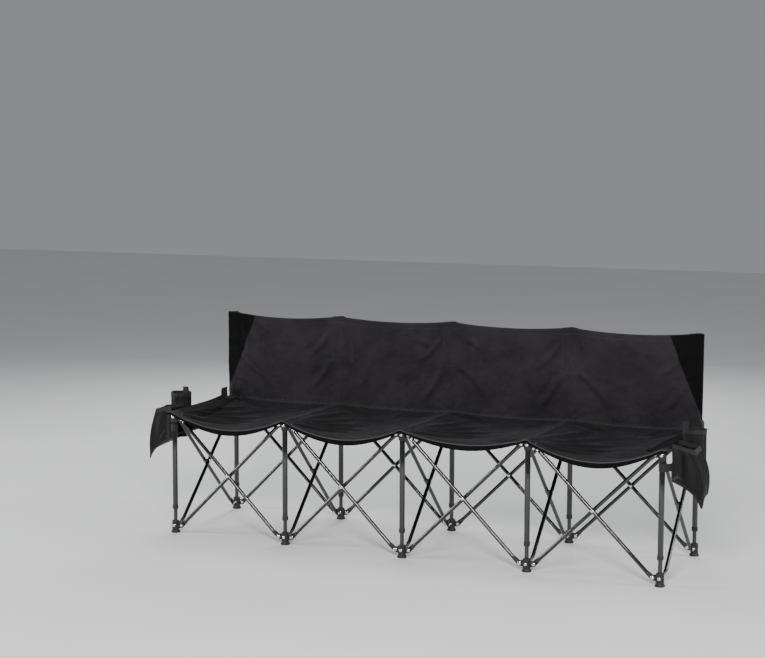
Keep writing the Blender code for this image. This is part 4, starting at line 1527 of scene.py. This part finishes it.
def end_panel(end):
    """The cloth wall hung from the seat's end, drawn up at its rear corner."""
    run = spans(PANEL_FRONT_Y, PANEL_REAR_Y, 0.005)
    share = np.linspace(0, 1, 26)
    y, t = np.meshgrid(run, share)
    back = (y - PANEL_FRONT_Y) / (PANEL_REAR_Y - PANEL_FRONT_Y)
    top = PANEL_TOP_Z + 0.016 * back ** 5
    low = PANEL_LOW_Z - 0.0015 * np.sin(6 * back) + 0.010 * np.clip(back - 0.7, 0, 1) * 3
    z = low + (top - low) * t
    wave = np.sin(y * 46 + 2 * np.sin(z * 40)) * np.sin(math.pi * np.clip(t * 1.2, 0, 1))
    points = np.stack([PANEL_X + 0.0016 * wave, y, z], -1)
    cloth = end.cloth(run - run[0], share * PANEL_TALL, points)
    length, height = cloth.xs[-1], cloth.ss[-1]
    tape_top = height - PANEL_TAPE - 0.001
    x, s = np.meshgrid(spans(0, length, 0.005), spans(0, height, 0.005))
    panel = end.solid("end_panel", cloth, x, s, CLOTH_THICK, end.looks.trim_and_painted_shade)
    for name, xs, ss in (
        ("top", (0, length), (tape_top, height)),
        ("low", (0, length), (0, PANEL_TAPE)),
        ("front", (0, PANEL_TAPE), (PANEL_TAPE, tape_top)),
        ("rear", (length - PANEL_TAPE, length), (PANEL_TAPE, tape_top)),
    ):
        end.tape("end_binding_" + name, cloth, xs, ss, 0.0026)
    end.stitch("end_panel_stitches", cloth, 0.002, (height - 0.009, 0.008), 0.0015)
    webbing_tab(end, "end_panel_tab", (PANEL_X, PANEL_REAR_Y - 0.014, 0.4560), 0.0160, 0.022, True)
    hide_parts("side_pouch_" + end.tag)


def bag_bottom(x, y):
    """Height of the bag's lower edge: falling away from the panel and hanging in a point at the tip."""
    from_tip = np.hypot(x - BAG_OUT_LOW, y - PANEL_FRONT_Y)
    return BAG_LOW_Z - 0.44 * (x - PANEL_X) - BAG_TIP_DROP * np.exp(-from_tip / BAG_TIP_REACH)


def bag_cloth(end):
    """The mesh bag's wall: out from the panel, along, and back, drooping at its outer front corner."""
    share = np.linspace(0, 1, 96)
    rows = 34
    centre = np.array([PANEL_X + 0.03, (PANEL_FRONT_Y + BAG_REAR_Y) / 2])
    grid = np.zeros((rows, len(share), 3))
    for k in range(rows):
        t = k / (rows - 1)
        outer = BAG_OUT_LOW + (BAG_OUT_TOP - BAG_OUT_LOW) * t ** 2.4
        turn_x = outer - BAG_CORNER
        route = np.array([
            (PANEL_X, BAG_FRONT_Y), (turn_x, BAG_FRONT_Y),
            *arc(turn_x, BAG_FRONT_Y + BAG_CORNER, BAG_CORNER, -math.pi / 2, 0, 6)[1:],
            *arc(turn_x, BAG_REAR_Y - BAG_CORNER, BAG_CORNER, 0, math.pi / 2, 6),
            (PANEL_X, BAG_REAR_Y),
        ])
        run = run_along(route)
        place = share * run[-1]
        x, y = np.interp(place, run, route[:, 0]), np.interp(place, run, route[:, 1])
        out = (x - PANEL_X) / (BAG_OUT_LOW - PANEL_X)
        front = np.clip((BAG_REAR_Y - y) / BAG_DEEP, 0, 1)
        low = bag_bottom(x + BAG_OUT_LOW - outer, y)
        high = BAG_TOP_Z - 0.012 * np.sin(math.pi * share) - 0.006 * out * front
        z = low + (high - low) * t
        slack = math.sin(math.pi * min(1, t * 1.1)) ** 0.7
        fold = 0.0030 * np.sin(share * 34 + 1.5 * np.sin(share * 9)) * slack
        bulge = 0.0055 * math.sin(math.pi * t) * np.sin(math.pi * share)
        away = np.stack([x, y], -1) - centre
        away /= np.linalg.norm(away, axis=-1, keepdims=True)
        taper = np.clip(out * 6, 0, 1)
        shift = ((fold + bulge - 0.005) * taper)[:, None] * away
        grid[k] = np.stack([x + shift[:, 0], y + shift[:, 1], z], -1)
    return end.cloth(share * BAG_AROUND, np.linspace(0, BAG_TALL, rows), grid)


def net_lines(low, high):
    """The edges of a net's strands from low to high, with a whole number of holes between."""
    count = max(2, round((high - low) / NET_PITCH))
    pitch = (high - low) / count
    at = low + pitch * np.arange(count + 1)
    half = NET_STRAND / 2
    edges = np.sort(np.concatenate([at[:-1] + half, at[1:] - half]))
    return np.concatenate([[low], edges, [high]])


def net(name, cloth, x_low, x_high, s_low, s_high, material):
    """A knitted net over part of a cloth: strands left between real square holes."""
    x, s = np.meshgrid(net_lines(x_low, x_high), net_lines(s_low, s_high))
    points, normals = cloth.at(x, s)
    sag = 0.0003 * np.sin(x * 3000) * np.cos(s * 2500)
    upper = points + normals * (NET_THICK / 2 + sag)[..., None]
    lower = points - normals * (NET_THICK / 2 - sag)[..., None]
    rows, columns = x.shape
    keep = np.ones((rows - 1, columns - 1), bool)
    keep[1::2, 1::2] = False
    solid = grid_quads(rows, columns)[keep]
    edges = np.concatenate([solid[:, [k, (k + 1) % 4]] for k in range(4)])
    ordered = np.sort(edges, axis=1)
    _, first, counts = np.unique(ordered, axis=0, return_index=True, return_counts=True)
    rim = edges[first[counts == 1]]
    below = rows * columns
    walls = np.stack([rim[:, 1], rim[:, 0], rim[:, 0] + below, rim[:, 1] + below], -1)
    mesh = cloth_mesh(name, upper, lower, np.concatenate([solid, solid[:, ::-1] + below, walls]), x, s)
    mesh.validate()
    mesh.set_sharp_from_angle(angle=math.radians(50))
    return add_piece(name, mesh, material)


def end_bag(end):
    cloth = bag_cloth(end)
    length, height = cloth.xs[-1], cloth.ss[-1]
    walls = end.net("bag_net", cloth, 0.008, height - 0.012)
    end.tape("bag_rim", cloth, (0, length), (height - 0.014, height), 0.0028)
    end.tape("bag_foot", cloth, (0, length), (0, 0.009), 0.0024)
    end.stitch("bag_stitches", cloth, 0.002, (height - 0.0115, 0.006), 0.0016)
    across, along = np.meshgrid(np.linspace(0, 1, 26), np.linspace(0, 1, 24))
    x = PANEL_X + (BAG_OUT_LOW - BAG_INSET - PANEL_X) * along
    y = PANEL_FRONT_Y + BAG_INSET + (BAG_DEEP - 2 * BAG_INSET) * across
    sag = 0.003 * np.sin(math.pi * across) * np.sin(math.pi * along)
    floor = np.stack([x, y, bag_bottom(x, y) - sag], -1)
    base = end.cloth(np.linspace(0, BAG_DEEP, 26), np.linspace(0, BAG_OUT_LOW - PANEL_X, 24), floor)
    end.net("bag_base", base, 0.002, base.ss[-1])


def sleeve_cloth(end):
    """The bottle sleeve as a closed round wall: a floor turned up into a slack, folded side."""
    turn = np.linspace(0, 2 * math.pi, 73)
    tall = SLEEVE_HIGH - SLEEVE_LOW
    wall = np.linspace(0, 1, 34)
    rings = [(radius, 0.0, 0.0) for radius in SLEEVE_FLOOR]
    rings += [(SLEEVE_R - 0.0035 + 0.0035 * t - 0.0016 * math.exp(-t * 18), t, 1.0) for t in wall]
    points = []
    for radius, t, is_wall in rings:
        slack = is_wall * math.sin(math.pi * min(1.0, t * 0.96 + 0.03)) ** 0.6
        fold = slack * (0.0016 * np.sin(9 * turn + 2.2 * t) + 0.0011 * np.sin(17 * turn - 3.1 * t + 1.0))
        r = radius + fold - 0.0014 * is_wall
        z = SLEEVE_LOW + tall * t + 0.0010 * np.sin(5 * turn) * t
        points.append(np.stack([SLEEVE_X + r * np.cos(turn), SLEEVE_Y + r * np.sin(turn), z], -1))
    along = np.concatenate([SLEEVE_FLOOR, SLEEVE_WALL_S + wall * tall])
    return end.cloth(turn * SLEEVE_R, along, np.array(points))


def end_sleeve(end):
    cloth = sleeve_cloth(end)
    length, height = cloth.xs[-1], cloth.ss[-1]
    rows = np.concatenate([SLEEVE_FLOOR, spans(SLEEVE_WALL_S, height, 0.004)])
    x, s = np.meshgrid(spans(0, length, 0.0022), rows)
    body = end.solid("sleeve_wall", cloth, x, s, 0.0018, end.looks.sleeve)
    end.tape("sleeve_rim", cloth, (0, length), (height - 0.013, height), 0.0034)
    end.tape("sleeve_foot", cloth, (0, length), (0.036, 0.042), 0.0036, across=7)
    end.stitch("sleeve_stitches", cloth, 0.001, (height - 0.0105, height - 0.003), 0.0019)
    loop_foot = (SLEEVE_X - SLEEVE_R * 0.74, SLEEVE_Y - SLEEVE_R * 0.34, SLEEVE_HIGH - 0.004)
    webbing_tab(end, "sleeve_loop", loop_foot, 0.0100, 0.026, False)
    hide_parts("bottle_sleeve_" + end.tag)


def webbing_tab(end, name, foot, half, rise, wide_along_y):
    """A folded webbing tab standing on its two ends, its width along X or along Y."""
    path = []
    for k in range(25):
        turn = math.pi * k / 24
        height = abs(math.sin(turn)) ** 0.7 * rise - TAB_SEWN * abs(math.cos(turn)) ** 6
        path.append((math.cos(turn) * TAB_HALF_GAP, height))
    path = np.array(path)
    wide = np.linspace(-half, half, 7)
    across, step = np.meshgrid(wide, np.arange(len(path)))
    off = path[step, 0] + 0.0012 * np.sin(step * 0.4)
    x, y = (foot[0] + off, foot[1] + across) if wide_along_y else (foot[0] - across, foot[1] + off)
    tab = end.cloth(wide - wide[0], run_along(path), np.stack([x, y, foot[2] + path[step, 1]], -1))
    x, s = np.meshgrid(tab.xs, tab.ss)
    end.solid(name, tab, x, s, TAB_THICK, end.looks.tape)


def leg_strap(end):
    """Webbing round the front leg, just under its hub, sewn to the inside of the end panel."""
    radius = TUBE_R + STRAP_THICK / 2 + 0.0003
    inner_x = PANEL_X - 0.0006 - STRAP_THICK / 2
    turns = np.radians(np.linspace(70, -230, 25))
    leg_x = station_x(STATIONS[-1])
    ring = np.stack([leg_x + radius * np.sin(turns), FRONT_Y - radius * np.cos(turns)], -1)
    lead = [(inner_x, PANEL_FRONT_Y + 0.012), (inner_x, PANEL_FRONT_Y + 0.002),
            (inner_x - 0.002, PANEL_FRONT_Y - 0.005)]
    path = np.concatenate([lead, ring])
    rise = np.linspace(-STRAP_WIDTH / 2, STRAP_WIDTH / 2, 7)
    step, z = np.meshgrid(np.arange(len(path)), STRAP_Z + rise)
    strap = end.cloth(run_along(path), rise - rise[0], np.stack([path[step, 0], path[step, 1], z], -1))
    x, s = np.meshgrid(strap.xs, strap.ss)
    lift = STRAP_THICK / 2
    piece = sheet_solid(f"leg_strap_{end.tag}", strap, x, s, lift, -lift, end.looks.tape)
    ride(piece, end.hub)


def build_organisers(looks):
    for side, tag in ((-1, "left"), (1, "right")):
        end = End(looks, side, tag)
        end_panel(end)
        leg_strap(end)
        end_bag(end)
        end_sleeve(end)


make_camera()
make_studio()
looks = Looks()
build_links(looks)
build_legs(looks)
build_cloth(looks)
build_organisers(looks)
